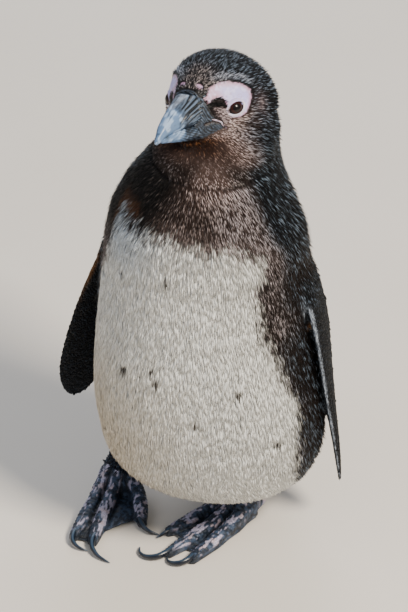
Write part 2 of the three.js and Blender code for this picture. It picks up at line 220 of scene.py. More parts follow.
world = bpy.data.worlds.new("studio")
world.use_nodes = True
world.node_tree.nodes["Background"].inputs["Color"].default_value = rgba("#E4E9F0")
world.node_tree.nodes["Background"].inputs["Strength"].default_value = 0.42
bpy.context.scene.world = world
print("lamps:", [lamp.name for lamp in bpy.data.lights if "_light" in lamp.name])

# %% One helper that adds a node with its settings and links
def fill(node, inputs):
    """Gives each named input a value, or a link from another node's output."""
    for key, value in inputs.items():
        if isinstance(value, bpy.types.NodeSocket):
            node.id_data.links.new(value, node.inputs[key])
        else:
            node.inputs[key].default_value = value


def add_node(tree, kind, inputs=None, output=0, **settings):
    """Adds a node, fills its inputs, and gives back one of its outputs."""
    node = tree.nodes.new(kind)
    for name, value in settings.items():
        setattr(node, name, value)
    fill(node, inputs or {})
    return node.outputs[output] if node.outputs else None


def new_material(name, **sockets):
    """A material with its Principled shader's own sockets set."""
    material = bpy.data.materials.new(name)
    material.use_nodes = True
    shader = material.node_tree.nodes["Principled BSDF"]
    fill(shader, {key.replace("_", " "): value for key, value in sockets.items()})
    return material, material.node_tree, shader

# %% The floor, a pale matt sheet that belongs to the studio
floor_paint, tree, shader = new_material("matt_studio_paper", Roughness=0.9)
grain = add_node(tree, "ShaderNodeTexNoise", {"Scale": 60.0, "Detail": 3.0})
sides = {0: grain, 6: rgba("#D9D2C8"), 7: rgba("#E0DAD1")}
fill(shader, {"Base Color": add_node(tree, "ShaderNodeMix", sides, 2, data_type="RGBA")})
floor_mesh = bpy.data.meshes.new("floor")
floor_mesh.from_pydata([(-6, -6, 0), (6, -6, 0), (6, 6, 0), (-6, 6, 0)], [], [(0, 1, 2, 3)])
floor_mesh.materials.append(floor_paint)
floor = bpy.data.objects.new("floor", floor_mesh)
bpy.context.scene.collection.objects.link(floor)
print("floor:", floor_paint.name)

# %% [markdown]
# ## One skin over all the flesh
#
# On a living bird nothing parts the neck from the trunk, so the solids of flesh are melted into
# one closed surface. Each is first grown by 0.3 mm, so that the hair-thin gaps between them
# close. A voxel remesh then wraps them all, and a smoothing that doesn't shrink the shape takes
# away the voxel's small steps. The alternative, booleans, would keep every crease where two
# solids meet.

# %% Melt the flesh solids together
FLESH = [
    "trunk", "neck", "head", "tail", "leg_left", "leg_right",
    "flipper_left", "flipper_right", "foot_left", "foot_right",
]
VOXEL = 1.4
GROWN = 0.3


def clean_copy(names, grow=0.0):
    """A bmesh of merged copies of these nodes, each face marked with its node's number."""
    whole = bmesh.new()
    number = whole.faces.layers.int.new("node")
    for k, name in enumerate(names):
        one = bmesh.new()
        one.from_mesh(nodes[name].data)
        bmesh.ops.remove_doubles(one, verts=one.verts, dist=1e-6)
        bmesh.ops.recalc_face_normals(one, faces=one.faces)
        moved = [v.co + v.normal * grow * MM for v in one.verts]
        made = [whole.verts.new(co) for co in moved]
        for face in one.faces:
            whole.faces.new([made[v.index] for v in face.verts])[number] = k
        one.free()
    return whole


def as_object(name, mesh):
    thing = bpy.data.objects.new(name, mesh)
    bpy.context.scene.collection.objects.link(thing)
    return thing


def evaluated_mesh(thing):
    """The mesh with its modifiers applied; the modifiers are then removed."""
    deps = bpy.context.evaluated_depsgraph_get()
    mesh = bpy.data.meshes.new_from_object(thing.evaluated_get(deps), depsgraph=deps)
    thing.modifiers.clear()
    return mesh


def wrapped(names, voxel, grow):
    """One closed mesh of quads round these nodes."""
    whole = clean_copy(names, grow)
    mesh = bpy.data.meshes.new("wrap")
    whole.to_mesh(mesh)
    whole.free()
    thing = as_object("wrap", mesh)
    modifier = thing.modifiers.new("wrap", "REMESH")
    modifier.mode = "VOXEL"
    modifier.voxel_size = voxel * MM
    result = evaluated_mesh(thing)
    bpy.data.objects.remove(thing)
    return result


def largest_piece(mesh):
    """Drops the small closed bubbles that a remesh leaves in the gaps."""
    body = bmesh.new()
    body.from_mesh(mesh)
    body.verts.ensure_lookup_table()
    seen = np.zeros(len(body.verts), bool)
    best = []
    for start in body.verts:
        if seen[start.index]:
            continue
        seen[start.index] = True
        group, todo = [start], [start]
        while todo:
            for edge in todo.pop().link_edges:
                for v in edge.verts:
                    if not seen[v.index]:
                        seen[v.index] = True
                        group.append(v)
                        todo.append(v)
        if len(group) > len(best):
            best = group
    keep = set(best)
    bmesh.ops.delete(body, geom=[v for v in body.verts if v not in keep], context="VERTS")
    bmesh.ops.recalc_face_normals(body, faces=body.faces)
    body.to_mesh(mesh)
    body.free()
    return mesh


def points_of(mesh):
    flat = np.empty(len(mesh.vertices) * 3)
    mesh.vertices.foreach_get("co", flat)
    return flat.reshape(-1, 3) / MM


def put_points(mesh, points):
    mesh.vertices.foreach_set("co", (points * MM).ravel())
    mesh.update()


def normals_of(mesh):
    flat = np.empty(len(mesh.vertices) * 3, np.float32)
    mesh.vertex_normals.foreach_get("vector", flat)
    return flat.reshape(-1, 3).astype(float)


def edges_of(mesh):
    flat = np.empty(len(mesh.edges) * 2, np.int32)
    mesh.edges.foreach_get("vertices", flat)
    return flat.reshape(-1, 2)


def neighbour_mean(values, edges):
    """For each vertex, the mean of what its neighbours hold."""
    a, b = edges.T
    count = np.bincount(a, minlength=len(values)) + np.bincount(b, minlength=len(values))
    columns = values.reshape(len(values), -1)
    total = np.stack(
        [
            np.bincount(a, column[b], len(values)) + np.bincount(b, column[a], len(values))
            for column in columns.T
        ],
        axis=1,
    )
    return (total / np.maximum(count, 1)[:, None]).reshape(values.shape)


def relaxed(values, edges, rounds, share=0.5):
    for _ in range(rounds):
        values = values + share * (neighbour_mean(values, edges) - values)
    return values


def smoothed(mesh, rounds):
    """Takes the voxel steps away: each shrinking round is followed by a growing one."""
    points, edges = points_of(mesh), edges_of(mesh)
    for _ in range(rounds):
        points = relaxed(points, edges, 1, 0.55)
        points = relaxed(points, edges, 1, -0.57)
    put_points(mesh, points)


skin_mesh = largest_piece(wrapped(FLESH, VOXEL, GROWN))
smoothed(skin_mesh, 9)
print("skin:", len(skin_mesh.vertices), "points")

# %% [markdown]
# ## Which part of the bird each point belongs to
#
# Feathers differ from part to part, so each point of the skin looks up the nearest solid. The
# answer is then spread a little over its neighbours, so that one kind of feather fades into the
# next. The solids meet in creases a plump bird does not have, and the trunk is built of rings
# that would show under so flat a coat, so both are smoothed out. The hollows of the throat are
# then filled.

# %% Find each point's part and smooth the junctions
whole = clean_copy(FLESH)
finder = BVHTree.FromBMesh(whole)
whole.faces.ensure_lookup_table()
node_layer = whole.faces.layers.int["node"]
face_node = [f[node_layer] for f in whole.faces]
whole.free()
PARTS = {
    "head": ["head"], "neck": ["neck"], "tail": ["tail"], "legs": ["leg_left", "leg_right"],
    "feet": ["foot_left", "foot_right"], "left": ["flipper_left"], "right": ["flipper_right"],
}


def parts_of(points):
    """How much of each part every point belongs to, from 0 to 1."""
    label = np.array([face_node[finder.find_nearest(Vector(p * MM))[2]] for p in points])
    return {
        name: relaxed(np.isin(label, [FLESH.index(n) for n in nodes]).astype(float), edges, 8)
        for name, nodes in PARTS.items()
    }


edges = edges_of(skin_mesh)
P = points_of(skin_mesh)
share = parts_of(P)
JUNCTIONS = [
    (("head", "neck"), 20, 3.2, 240),
    (("left", "right", "tail"), 14, 2.4, 90),
]  # parts, rounds that spread the crease, its weight, rounds that smooth it
for parts, wide, weight, rounds in JUNCTIONS:
    meeting = sum(share[name] * (1 - share[name]) for name in parts)
    crease = relaxed(np.clip(4 * meeting, 0, 1), edges, wide)
    P = mixed(P, relaxed(P, edges, rounds), np.clip(weight * crease, 0, 1))
trunk = np.clip(1 - 3 * (sum(share.values()) - share["neck"]), 0, 1)
P = mixed(P, relaxed(P, edges, 80), relaxed(trunk, edges, 6))
put_points(skin_mesh, P)
throat = ramp(-10, -17, to_head(P)[:, 2]) * ramp(300, 315, P[:, 2])
for _ in range(6):
    N = normals_of(skin_mesh)
    hollow = ((relaxed(P, edges, 40) - P) * N).sum(1)
    P = P + N * (np.clip(hollow, 0, 2.0) * throat)[:, None]
    put_points(skin_mesh, P)
print("points on the trunk:", int((trunk > 0.5).sum()))

# %% [markdown]
# ## A finer mesh on the face and feet
#
# The face shows folds and a sharp edge between bare skin and feathers, and the feet are scaly.
# So the faces there are cut in four, while the rest keeps its coarser mesh.

# %% Cut the mesh finer there
def cut_finer(mesh, wanted):
    """Halves every edge whose two ends are wanted."""
    body = bmesh.new()
    body.from_mesh(mesh)
    body.verts.ensure_lookup_table()
    edges = [e for e in body.edges if wanted[e.verts[0].index] and wanted[e.verts[1].index]]
    bmesh.ops.subdivide_edges(body, edges=edges, cuts=1, use_grid_fill=True)
    body.to_mesh(mesh)
    body.free()
    mesh.update()


h = to_head(P)
on_face = (h[:, 0] > -18) & (h[:, 2] > -26) & (np.linalg.norm(h, axis=1) < 60)
cut_finer(skin_mesh, on_face | (P[:, 2] < 19))
edges = edges_of(skin_mesh)
P = points_of(skin_mesh)
share = parts_of(P)
on_head, on_tail, on_legs, on_feet = [share[name] for name in ("head", "tail", "legs", "feet")]
on_flipper = {"left": share["left"], "right": share["right"]}
on_flippers = share["left"] + share["right"]
is_head = on_head > 0.3
FAR_OUT = -20.0  # a distance inside an edge, for points that are nowhere near it
print("with a finer face and feet:", len(P), "points")

# %% [markdown]
# ## Lines the markings are drawn from
#
# A young african penguin wears no clean black band yet. A brown hood covers the head, throat
# and upper breast and ends in a soft edge above the white belly. It runs on down the flanks to
# the back. The tables give that edge as an angle at each height, and the bare face patch as an
# outline seen from the side of the head.

# %% Edges of the white belly and the outline of the bare face patch
BIB_EDGE = [(-60, 310), (-50, 308), (-45, 307), (-38, 306), (-26, 305), (-8, 303.5), (12, 301),
            (30, 297), (45, 291), (56, 280)]  # angle, height
FLANK_LEFT = [(40, 92), (60, 76), (85, 69), (110, 68), (141, 70), (152, 70), (164, 66), (176, 61),
              (189, 59), (199, 56), (211, 51), (235, 47), (257, 44), (266, 45), (281, 49),
              (320, 52)]  # height, angle
FLANK_RIGHT = [(40, 96), (60, 86), (100, 80), (150, 80), (200, 77), (230, 72), (250, 64), (266, 55),
               (279, 51), (294, 49), (304, 50), (330, 55)]  # height, angle
FACE_PATCH = [(23.8, 4.6), (21.3, 6.0), (19.0, 8.2), (16.5, 8.9), (14.3, 9.0), (12.0, 7.0),
              (10.3, 3.5), (9.6, -2.5), (6.8, -6.4), (1.6, -6.4), (-3.2, -3.8), (-6.2, 1.5),
              (-9.4, 7.5), (-9.4, 12.3), (-5.9, 16.1), (0.8, 19.0), (8.0, 19.8), (14.0, 18.6),
              (18.5, 16.4), (21.5, 13.0), (24.0, 9.0)]  # head x, head z


BILL_BORDER = [(-28, 70), (-25.5, 29), (-23, 26.5), (-20, 21.5), (-16.5, 17), (-14, 12.5), (-13, 10.5),
               (-10.5, 13.0), (-8, 17), (-5, 19.5), (-0.6, 22), (4.7, 24), (9, 24.8), (13, 25.8),
               (15.5, 27), (17, 28.5), (19, 60)]  # head z, head x


def table(pairs, value):
    first, second = np.array(pairs).T
    return np.interp(value, first, second)


def beneath_horn(head_points):
    """How far in front of the feathers' edge at the bill's base, in millimetres."""
    gap = head_points[:, 0] - table(BILL_BORDER, head_points[:, 2])
    return np.where(is_head, gap, FAR_OUT)


def inside_outline(x, z, outline):
    """Signed distance in millimetres: plus inside the closed outline."""
    corners = np.array(outline)
    place = np.stack([x, z], 1)
    nearest = np.full(len(place), 1e9)
    inside = np.zeros(len(place), bool)
    for a, b in zip(corners, np.roll(corners, -1, axis=0)):
        along = b - a
        t = np.clip((place - a) @ along / (along @ along), 0, 1)
        nearest = np.minimum(nearest, np.linalg.norm(place - a - t[:, None] * along, axis=1))
        crosses = (a[1] > z) != (b[1] > z)
        inside ^= crosses & (x < (b[0] - a[0]) * (z - a[1]) / (b[1] - a[1] + 1e-12) + a[0])
    return np.where(inside, nearest, -nearest)


def white_reach(points):
    """Signed distance from the edge of the white belly, plus on the white side."""
    angle = round_trunk(points)
    height = points[:, 2]
    per_degree = 1.45  # millimetres of skin for a degree round the trunk
    reach = np.minimum(
        np.minimum(
            (table(FLANK_LEFT, height) - angle) * per_degree,
            (angle + table(FLANK_RIGHT, height)) * per_degree,
        ),
        table(BIB_EDGE, angle) - height,
    )
    return reach + 2.5 * mottle(points, 9, 3) + 1.5 * mottle(points, 4, 4)


print("belly edge at the breast bone:", table(BIB_EDGE, 0), "mm high")

# %% [markdown]
# ## Sink the skin by the depth of the coat and shape the face
#
# The solids reach to the feathers' outer surface, so the skin goes in by as much as the coat
# stands off it: more on the trunk, hardly at all on the bare face. Round the eye the skin is
# pushed under a separate lid ring. A shallow groove marks the corner of the mouth, and the
# brow stands a little proud over the bare patch.

# %% Sink the skin
EYE_AT = np.array([1.0, 24.8, 0.0])  # middle of the left ball, in head coordinates
EYE_RADIUS = 7.1
h = to_head(P)
mirrored = h.copy()
mirrored[:, 1] = np.abs(h[:, 1])
patch = inside_outline(h[:, 0], h[:, 2], FACE_PATCH)
patch = np.where(is_head & (mirrored[:, 1] > 4), patch, FAR_OUT)
face = ramp(-30, 4, h[:, 0]) * on_head

ON_TRUNK, ON_FACE, ON_FLIPPER, ON_FOOT, ON_TAIL = 2.2, 0.8, 0.9, 0.3, 1.0
depth = layered(ON_TRUNK, (1.5 + (ON_FACE - 1.5) * face, on_head), (ON_FLIPPER, on_flippers),
                (ON_FOOT, on_feet), (ON_TAIL, on_tail))
depth = np.where(patch > 0, np.minimum(depth, 0.75 - 0.3 * ramp(0, 3, patch)), depth)
depth = relaxed(depth, edges, 2)
depth += 2.2 * ramp(-0.8, 1.5, beneath_horn(h))
N = normals_of(skin_mesh)
P = points_of(skin_mesh) - N * depth[:, None]
print("deepest coat:", round(float(depth.max()), 2), "mm")

# %% [markdown]
# The eye looks outward and a little forward. The lids leave an opening of 12.8 by 8.2 mm, and
# their ring is an oval of 16.4 by 13.8 mm, both laid along the ball's own directions.

# %% Eye axes and the hollow under the lid ring
EYE_AXIS = unit(np.array([0.60, 0.76, 0.14]))
EYE_LONG = np.array([-9.4, 6.0, 4.6])
EYE_LONG = unit(EYE_LONG - EYE_AXIS * (EYE_LONG @ EYE_AXIS))
EYE_HIGH = np.cross(EYE_AXIS, EYE_LONG)
OPENING = (6.4, 4.1)  # half length and half height of the opening between the lids
RING_OUT = (8.2, 6.9)


def eye_place(local):
    """Along the eye's long axis, its high axis and outward, from the ball's centre."""
    relative = local - EYE_AT
    return np.stack([relative @ EYE_LONG, relative @ EYE_HIGH, relative @ EYE_AXIS], 1)


e = eye_place(mirrored)
oval = np.sqrt((e[:, 0] / RING_OUT[0]) ** 2 + (e[:, 1] / RING_OUT[1]) ** 2)
near_eye = (e[:, 2] > -4) & (np.linalg.norm(e, axis=1) < 14) & is_head
sunk = np.where(near_eye, 1.6 * (1 - ramp(0.75, 0.98, oval)), 0.0)
limit = np.where(near_eye & (oval < 0.85), 6.3, 99.0)
relative = mirrored - EYE_AT
reach = np.linalg.norm(relative, axis=1)
new_reach = np.minimum(reach - sunk, limit)
relative = relative * np.where(near_eye, new_reach / np.maximum(reach, 1e-6), 1.0)[:, None]
local = relative + EYE_AT
local[:, 1] *= np.sign(h[:, 1] + 1e-9)
print("the left eye looks along", EYE_AXIS.round(2), "of the head")

# %% Brow, mouth corner and cheek
GAPE = np.array([(24.5, 15.5, -9.8), (18.7, 19.2, -8.2), (14.6, 22.2, -9.4), (10.4, 24.8, -13.4)])


def distance_to_path(points, path):
    """Distance to a chain of straight pieces, and how far along it the nearest place is."""
    best = np.full(len(points), 1e9)
    where = np.zeros(len(points))
    for k, (a, b) in enumerate(zip(path[:-1], path[1:])):
        along = b - a
        t = np.clip((points - a) @ along / (along @ along), 0, 1)
        gap = np.linalg.norm(points - a - t[:, None] * along, axis=1)
        where = np.where(gap < best, k + t, where)
        best = np.minimum(best, gap)
    return best, where / (len(path) - 1)


flat_gape = GAPE[:, [0, 2]]
gape_gap, _ = distance_to_path(mirrored[:, [0, 2]], flat_gape)
gape_gap = np.where(is_head & (mirrored[:, 1] > 8), gape_gap, -FAR_OUT)
brow = bell(patch + 1.0, 1.6) * ramp(8, 14, h[:, 2]) * ramp(24, 18, h[:, 0])
push = 0.7 * brow - 1.4 * bell(gape_gap, 0.9)
P = np.where(is_head[:, None], from_head(local), P)
N = relaxed(N, edges, 2)
P = P + unit(N) * push[:, None]
put_points(skin_mesh, P)
print("the brow stands out by", round(float(push.max()), 2), "mm")

# %% [markdown]
# ## The lie of the coat
#
# Feathers point away from the bill over the head, down over the neck and trunk, back under the
# belly towards the tail, and along each flipper to its tip. That direction is kept on every
# point of the skin, flattened to the surface, so that the feathers laid later follow it.

# %% Direction of the feathers at each point
FLIPPER_PATH = {
    "left": [(76.5, -7.2, 264), (91.5, -9.2, 235), (100, -5.2, 197), (104, -1.2, 155),
             (108, 1.8, 115), (112, 3.8, 78), (114, 5.8, 48)],
    "right": [(-57.5, -7.2, 262), (-65.5, -7.2, 225), (-78.5, -7.2, 180), (-90.5, -7.2, 142),
              (-102.5, -3.2, 104), (-110.5, 2.8, 76)],
}
FLIPPER_LEAD = {"left": ((0.05, -1, 0), (0.34, -0.94, 0)), "right": ((-0.6, -0.8, 0), (-0.85, -0.5, 0))}
FLIPPER_HALF = [(0, 16), (0.14, 20), (0.36, 24.5), (0.6, 23.5), (0.8, 20), (0.93, 14.5), (1, 7)]


def on_blade(points, side):
    """Share along the flipper, place across it (1 is the leading edge), side of it and direction."""
    path = np.array(FLIPPER_PATH[side], float)
    share = np.linspace(0, 1, 60)
    spread = np.concatenate([[0], np.cumsum(np.linalg.norm(np.diff(path, axis=0), axis=1))])
    line = np.stack([np.interp(share, spread / spread[-1], c) for c in path.T], 1)
    nearest = np.array([np.argmin(((line - p) ** 2).sum(1)) for p in points])
    along = unit(np.gradient(line, axis=0))[nearest]
    t = share[nearest]
    first, last = [unit(np.array(v, float)) for v in FLIPPER_LEAD[side]]
    chord = mixed(first, last, t)
    chord = unit(chord - along * (chord * along).sum(1)[:, None])
    across = ((points - line[nearest]) * chord).sum(1) / table(FLIPPER_HALF, t)
    flat = ((points - line[nearest]) * np.cross(along, chord)).sum(1)
    return t, across, flat, along


def outward(points, side):
    """Outer face of the flipper is plus, the face against the body minus."""
    return np.sign(points) * (1 if side == "left" else -1)


P = points_of(skin_mesh)
N = relaxed(normals_of(skin_mesh), edges, 1)
N = unit(N)
h = to_head(P)
angle = round_trunk(P)
height = P[:, 2]

BILL_ROOT = from_head(np.array([46.0, 0, 4.0]))
under = ramp(115, 45, height)
lie = np.stack([0 * height, 0.1 + 0.9 * under, -1 + 0.2 * under], 1)
away = unit(P - BILL_ROOT)
lie = unit(mixed(lie, away, ramp(300, 350, height)))
blade = {}
for side in ("left", "right"):
    near = np.flatnonzero(on_flipper[side] > 0.02)
    t, across, flat, along = on_blade(P[near], side)
    blade[side] = (near, t, across, flat)
    lie[near] = mixed(lie[near], along, on_flipper[side][near])
tail_way = unit(np.array([2.0, 44.0, -53.0]))
lie = mixed(lie, tail_way + 0 * lie, on_tail)
swirl = np.stack([mottle(P, 14, 11), mottle(P, 14, 12), mottle(P, 14, 13)], 1)
lie = unit(lie) + 0.16 * swirl * (1 - 0.6 * on_flippers)[:, None]
lie = relaxed(lie - N * (lie * N).sum(1)[:, None], edges, 10)
lie = unit(lie - N * (lie * N).sum(1)[:, None])
print("points on the flippers:", [len(blade[s][0]) for s in blade])

# %% [markdown]
# ## How big the feathers are and how thick they stand
#
# A penguin's feathers are short and stiff: about 11 mm long on the belly and back, 8 mm on the
# breast and neck, 7 mm on the head, under 4 mm by the bill and 16 mm on the tail. They overlap
# like tiles, so only a part of that length shows. Over the back and nape the tips stand off a
# little, so the outline there is spiky, while the belly's outline is smooth. Lengths and widths
# are in millimetres, lift in radians, and density is feathers for each square millimetre.

# %% Size, lift and density at each point
white = white_reach(P)
chance_here = np.random.default_rng(5).uniform(-1, 1, len(P))
mingled = white + 6.5 * chance_here * ramp(-75, -45, angle) + 3.0 * mottle(P, 5, 6)
is_white = ramp(-1.5, 1.5, mingled) * (1 - on_flippers) * (1 - on_tail)
backward = ramp(62, 105, np.abs(angle))
neck_part = ramp(296, 335, height) * (1 - on_head)
nape = ramp(-14, -34, h[:, 0]) * on_head
front_face = ramp(-4, 12, h[:, 0]) * on_head
under_horn = beneath_horn(h)
dark = 1 - is_white
blade_share = 0.0 * height
for side in ("left", "right"):
    near, t, across, flat = blade[side]
    blade_share[near] = on_flipper[side][near] * ramp(0.02, 0.24, t)
tail_root = np.clip(4 * on_tail * (1 - on_tail), 0, 1) + ramp(52, 70, height) * on_tail
tail_root = relaxed(np.clip(tail_root, 0, 1), edges, 4)

ZONES = [
    (11.5, 1.2, 0.045, 0.6, 1.0),
    (8.0, 0.62, 0.15, 1.1, dark),
    (11.0, 1.1, 0.26, 0.58, dark * backward),
    (8.0, 0.6, 0.15, 1.15, neck_part),
    (7.0, 0.48, 0.11, 1.5, on_head),
    (7.5, 0.62, 0.26, 1.2, nape),
    (3.6, 0.38, 0.09, 2.4, front_face),
    (3.2, 1.35, 0.08, 0.75, blade_share),
    (16.0, 2.4, 0.06, 0.35, on_tail),
    (7.0, 1.1, 0.04, 0.8, tail_root),
    (5.0, 1.2, 0.2, 0.7, on_legs),
]  # length, width, lift, density, where
feather_length, feather_width, lift, density = [
    layered(ZONES[0][k], *[(zone[k], zone[4]) for zone in ZONES[1:]]) for k in range(4)
]
print("lengths:", feather_length.min().round(1), "to", feather_length.max().round(1), "mm")

# %% [markdown]
# No feather grows on the bare patch, under the lid ring, below the horn of the bill or on the
# feet. A signed distance in millimetres says how far inside the bare skin a point lies. In the
# hollow of the throat the feathers are shorter and closer, and near the floor their length is
# cut to the room that is left.

# %% Where the skin is bare, and where the feathers have less room
local = h.copy()
local[:, 1] = np.abs(h[:, 1])
e = eye_place(local)
oval = np.hypot(e[:, 0] / RING_OUT[0], e[:, 1] / RING_OUT[1])
in_ring = (oval < 0.98) & (np.linalg.norm(e, axis=1) < 14) & is_head
patch = inside_outline(h[:, 0], h[:, 2], FACE_PATCH)
patch = np.where(is_head & (local[:, 1] > 4), patch, FAR_OUT)
ragged = 0.9 * mottle(h, 1.3, 24) + 0.6 * np.random.default_rng(6).uniform(-1, 1, len(P))
bare = np.maximum(patch + ragged * ramp(3, 7, h[:, 2]), np.where(in_ring, 2.0, FAR_OUT))
bare = np.maximum(bare, under_horn)
beside_culmen = 2.2 - np.linalg.norm((local - [21.8, 6.5, 17.0]) / [1.0, 1.5, 1.0], axis=1)
bare = np.maximum(bare, np.where(is_head, beside_culmen, FAR_OUT))
throat = bell(h[:, 2] + 27, 6) * ramp(-4, 12, h[:, 0]) * on_head
feather_length += (6.5 - feather_length) * 0.8 * throat
density *= (1 + 0.8 * throat) * (1 - ramp(0.35, 0.65, on_feet))
room = np.maximum(height - 0.6, 0.5) / np.maximum(-lie[:, 2], 0.15)  # down to the floor
feather_length = np.minimum(feather_length, np.where(on_tail > 0.5, 0.45, 0.8) * room)
print("points on bare skin:", int((bare > 0).sum()))

# %% [markdown]
# ## The colours of the plumage
#
# Each feather has a root colour and, on a share of them, a pale tip. That is what makes the hood look
# like salt and pepper: dark brown feathers, a fifth to a half with a pale tip, partly their own pale
# edge and partly painted glint. The back and crown are blue-black, and their silvery tips are painted
# sheen; the cheeks and throat are a pinkish brown, and the belly white, with painted shade on the
# bird's right: warmer low down and bluer high up.

# %% Root colour, tip colour and share of pale tips
slant = angle + 8 * mottle(P, 20, 21) - 12 * ramp(300, 280, height)
grey_side = np.clip(ramp(44, 68, slant) + ramp(-62, -85, angle), 0, 1)
left_rim = bell(white + 6.0, 4.0) * ramp(-26, -42, angle) * ramp(288, 306, height)
left_dark = ramp(-2, -24, angle) * ramp(270, 300, height) * (1 - on_head)
back_edge = 8 * ramp(-3, -20, h[:, 2])
cheek = ramp(-13, 4, h[:, 0] - back_edge) * ramp(7, -6, h[:, 2]) * ramp(318, 342, height)
cheek = cheek * np.maximum(ramp(342, 354, height), ramp(-12, 8, angle) * ramp(44, 26, angle))
cheek = cheek * (1 - 0.8 * ramp(-2, -12, h[:, 0]) * ramp(-12, -20, h[:, 2]))
chin = ramp(6, 20, h[:, 0]) * ramp(-17, -22, h[:, 2]) * ramp(-44, -28, h[:, 2]) * on_head
crown = (1 - cheek) * on_head * ramp(-30, -10, h[:, 2])
forehead = ramp(2, 14, h[:, 0]) * ramp(9, 15, h[:, 2]) * on_head
forehead = forehead * (0.35 + 0.65 * ramp(-12, -3, h[:, 1]))
temple = bell(h[:, 0] + 15, 7) * bell(h[:, 2] - 1, 8) * on_head
frosted = bell(patch + 3.0, 2.2) * ramp(11, 17, h[:, 2]) * ramp(19, 9, h[:, 0]) * on_head
flank_dark = ramp(16, 34, angle) * ramp(288, 264, height) * (1 - on_flippers)
edge_mix = ramp(16, 2, np.abs(white)) * ramp(285, 300, height) * ramp(-30, -10, angle)
rear = ramp(100, 140, np.abs(angle)) * (1 - on_head)
lore = ramp(6, 11, h[:, 0]) * ramp(9, 5, h[:, 2]) * ramp(-12, -6, h[:, 2]) * on_head
lore_top = lore * ramp(0.5, 3.0, h[:, 2] + 1.5 * mottle(h, 2.5, 23))
lore_top = np.maximum(lore_top, 0.8 * lore * ramp(-4.0, -1.0, under_horn))
# Painted shade on the white of the bird's right side: warmer low down, bluer high up.
warm_painted_shade = ramp(235, 110, height) * ramp(25, -60, angle)
blue_painted_shade = ramp(255, 300, height) * ramp(0, -40, angle)
# Painted shadow under the bill: the roots there are darkened and almost none of the tips are pale.
shadow_under_bill = ramp(-1, 16, h[:, 0]) * ramp(332, 346, height) * ramp(-18, -26, h[:, 2])
centre = ramp(-30, -6, angle) * ramp(34, 12, angle)

count = len(P)
root = painted(
    "#3D3330", count, ("#150E0B", shadow_under_bill), ("#0B0A0B", left_dark), ("#0B0E13", grey_side),
    ("#161C25", 0.8 * rear), ("#4A3020", 0.9 * left_rim), ("#211713", 0.6 * centre),
    ("#1E1613", 0.8 * flank_dark), ("#5A4D49", 0.6 * edge_mix), ("#06080C", crown),
    ("#151214", forehead * 0.8), ("#4C3F43", 0.8 * temple), ("#54443F", cheek), ("#24140D", chin),
    ("#3F3233", lore), ("#3B3E48", 0.7 * frosted), ("#08080A", lore_top),
)
# Tip colours: on the hood partly the feathers' own pale edges and partly painted glint; on the crown and
# back the silvery tips are painted sheen.
tip = painted(
    "#B5ABAE", count, ("#6A625E", left_dark), ("#7F90A2", grey_side), ("#8C6743", 0.9 * left_rim),
    ("#7C6D68", 0.8 * centre), ("#8C9CB0", crown), ("#B4A8A6", forehead), ("#B9A5A3", 0.8 * temple),
    ("#DCC8C6", cheek), ("#8E5E3A", chin), ("#D6C4C8", lore), ("#C4CAD8", 0.8 * frosted),
    ("#1C1A1C", lore_top),
)
white_root = painted("#D3D4D0", count, ("#C2B296", 0.75 * warm_painted_shade), ("#A9B8C8", 0.75 * blue_painted_shade))
white_tip = painted("#EDEEEB", count, ("#DACDB6", 0.75 * warm_painted_shade), ("#C4D2E0", 0.75 * blue_painted_shade))
root = mixed(root, white_root, is_white)
tip = mixed(tip, white_tip, is_white)
near_edge = ramp(22, 6, np.abs(white)) * ramp(-40, -20, angle) * (1 - 0.7 * flank_dark)
tip_share = layered(
    0.2, (0.52, ramp(8, 26, angle)), (0.4, near_edge),
    (0.14, flank_dark * ramp(22, 8, np.abs(white) + 8)), (0.2, 0.7 * flank_dark),
    (0.03, left_dark), (0.12, grey_side), (0.14, backward), (0.14, crown), (0.4, 0.8 * temple),
    (0.62, cheek), (0.04, 0.95 * shadow_under_bill), (0.26, forehead), (0.55, frosted), (0.5, is_white),
    (0.05, lore_top),
)
print("points on the white belly:", int((is_white > 0.5).sum()))

# %% Flippers, tail, legs and the loose dark feathers on the belly
for side in ("left", "right"):
    near, t, across, flat = blade[side]
    share = blade_share[near]
    outer = ramp(-1, 1, outward(flat, side))
    # The left flipper's leading edge is painted pale: partly its own white edge, partly a painted
    # highlight, broken up along its length.
    broken_edge_and_gloss = 0.55 + 0.6 * np.clip(0.5 + mottle(P[near], 3.5, 32), 0, 1)
    pale_edge_and_highlight = ramp(0.91, 0.98, across) * ramp(0.10, 0.2, t) * broken_edge_and_gloss * (side == "left")
    if side == "left":
        tan = 0.7 * bell(across - 0.72, 0.035) * outer * ramp(0.04, 0.1, t) * ramp(0.62, 0.45, t)
    else:
        tan = 0.6 * ramp(0.86, 0.98, across) * ramp(0.5, 0.2, t)
    blotch = ramp(0.15, 0.5, mottle(P[near] * [1, 1, 0.5], 13, 31)) * (1 - outer)
    blotch = 0.5 * blotch * ramp(0.9, 0.6, across) * (side == "right")
    outside = 0.8 * outer * (side == "left")
    base = painted("#07090D", len(near), ("#1C222A", outside), ("#5B4334", blotch),
                   ("#8E6138", tan), ("#A4AFBF", pale_edge_and_highlight))
    pale = painted("#222B36", len(near), ("#4A5764", outside), ("#B98A58", tan), ("#C9D2DF", pale_edge_and_highlight))
    root[near] = mixed(root[near], base, share)
    tip[near] = mixed(tip[near], pale, share)
    tip_share[near] = tip_share[near] * (1 - share) + 0.3 * share
leg_share = ramp(0.08, 0.4, on_legs)
root = painted(root, count, ("#0C0F14", on_tail), ("#10161F", leg_share))
tip = painted(tip, count, ("#3C4856", on_tail), ("#2A3646", leg_share))

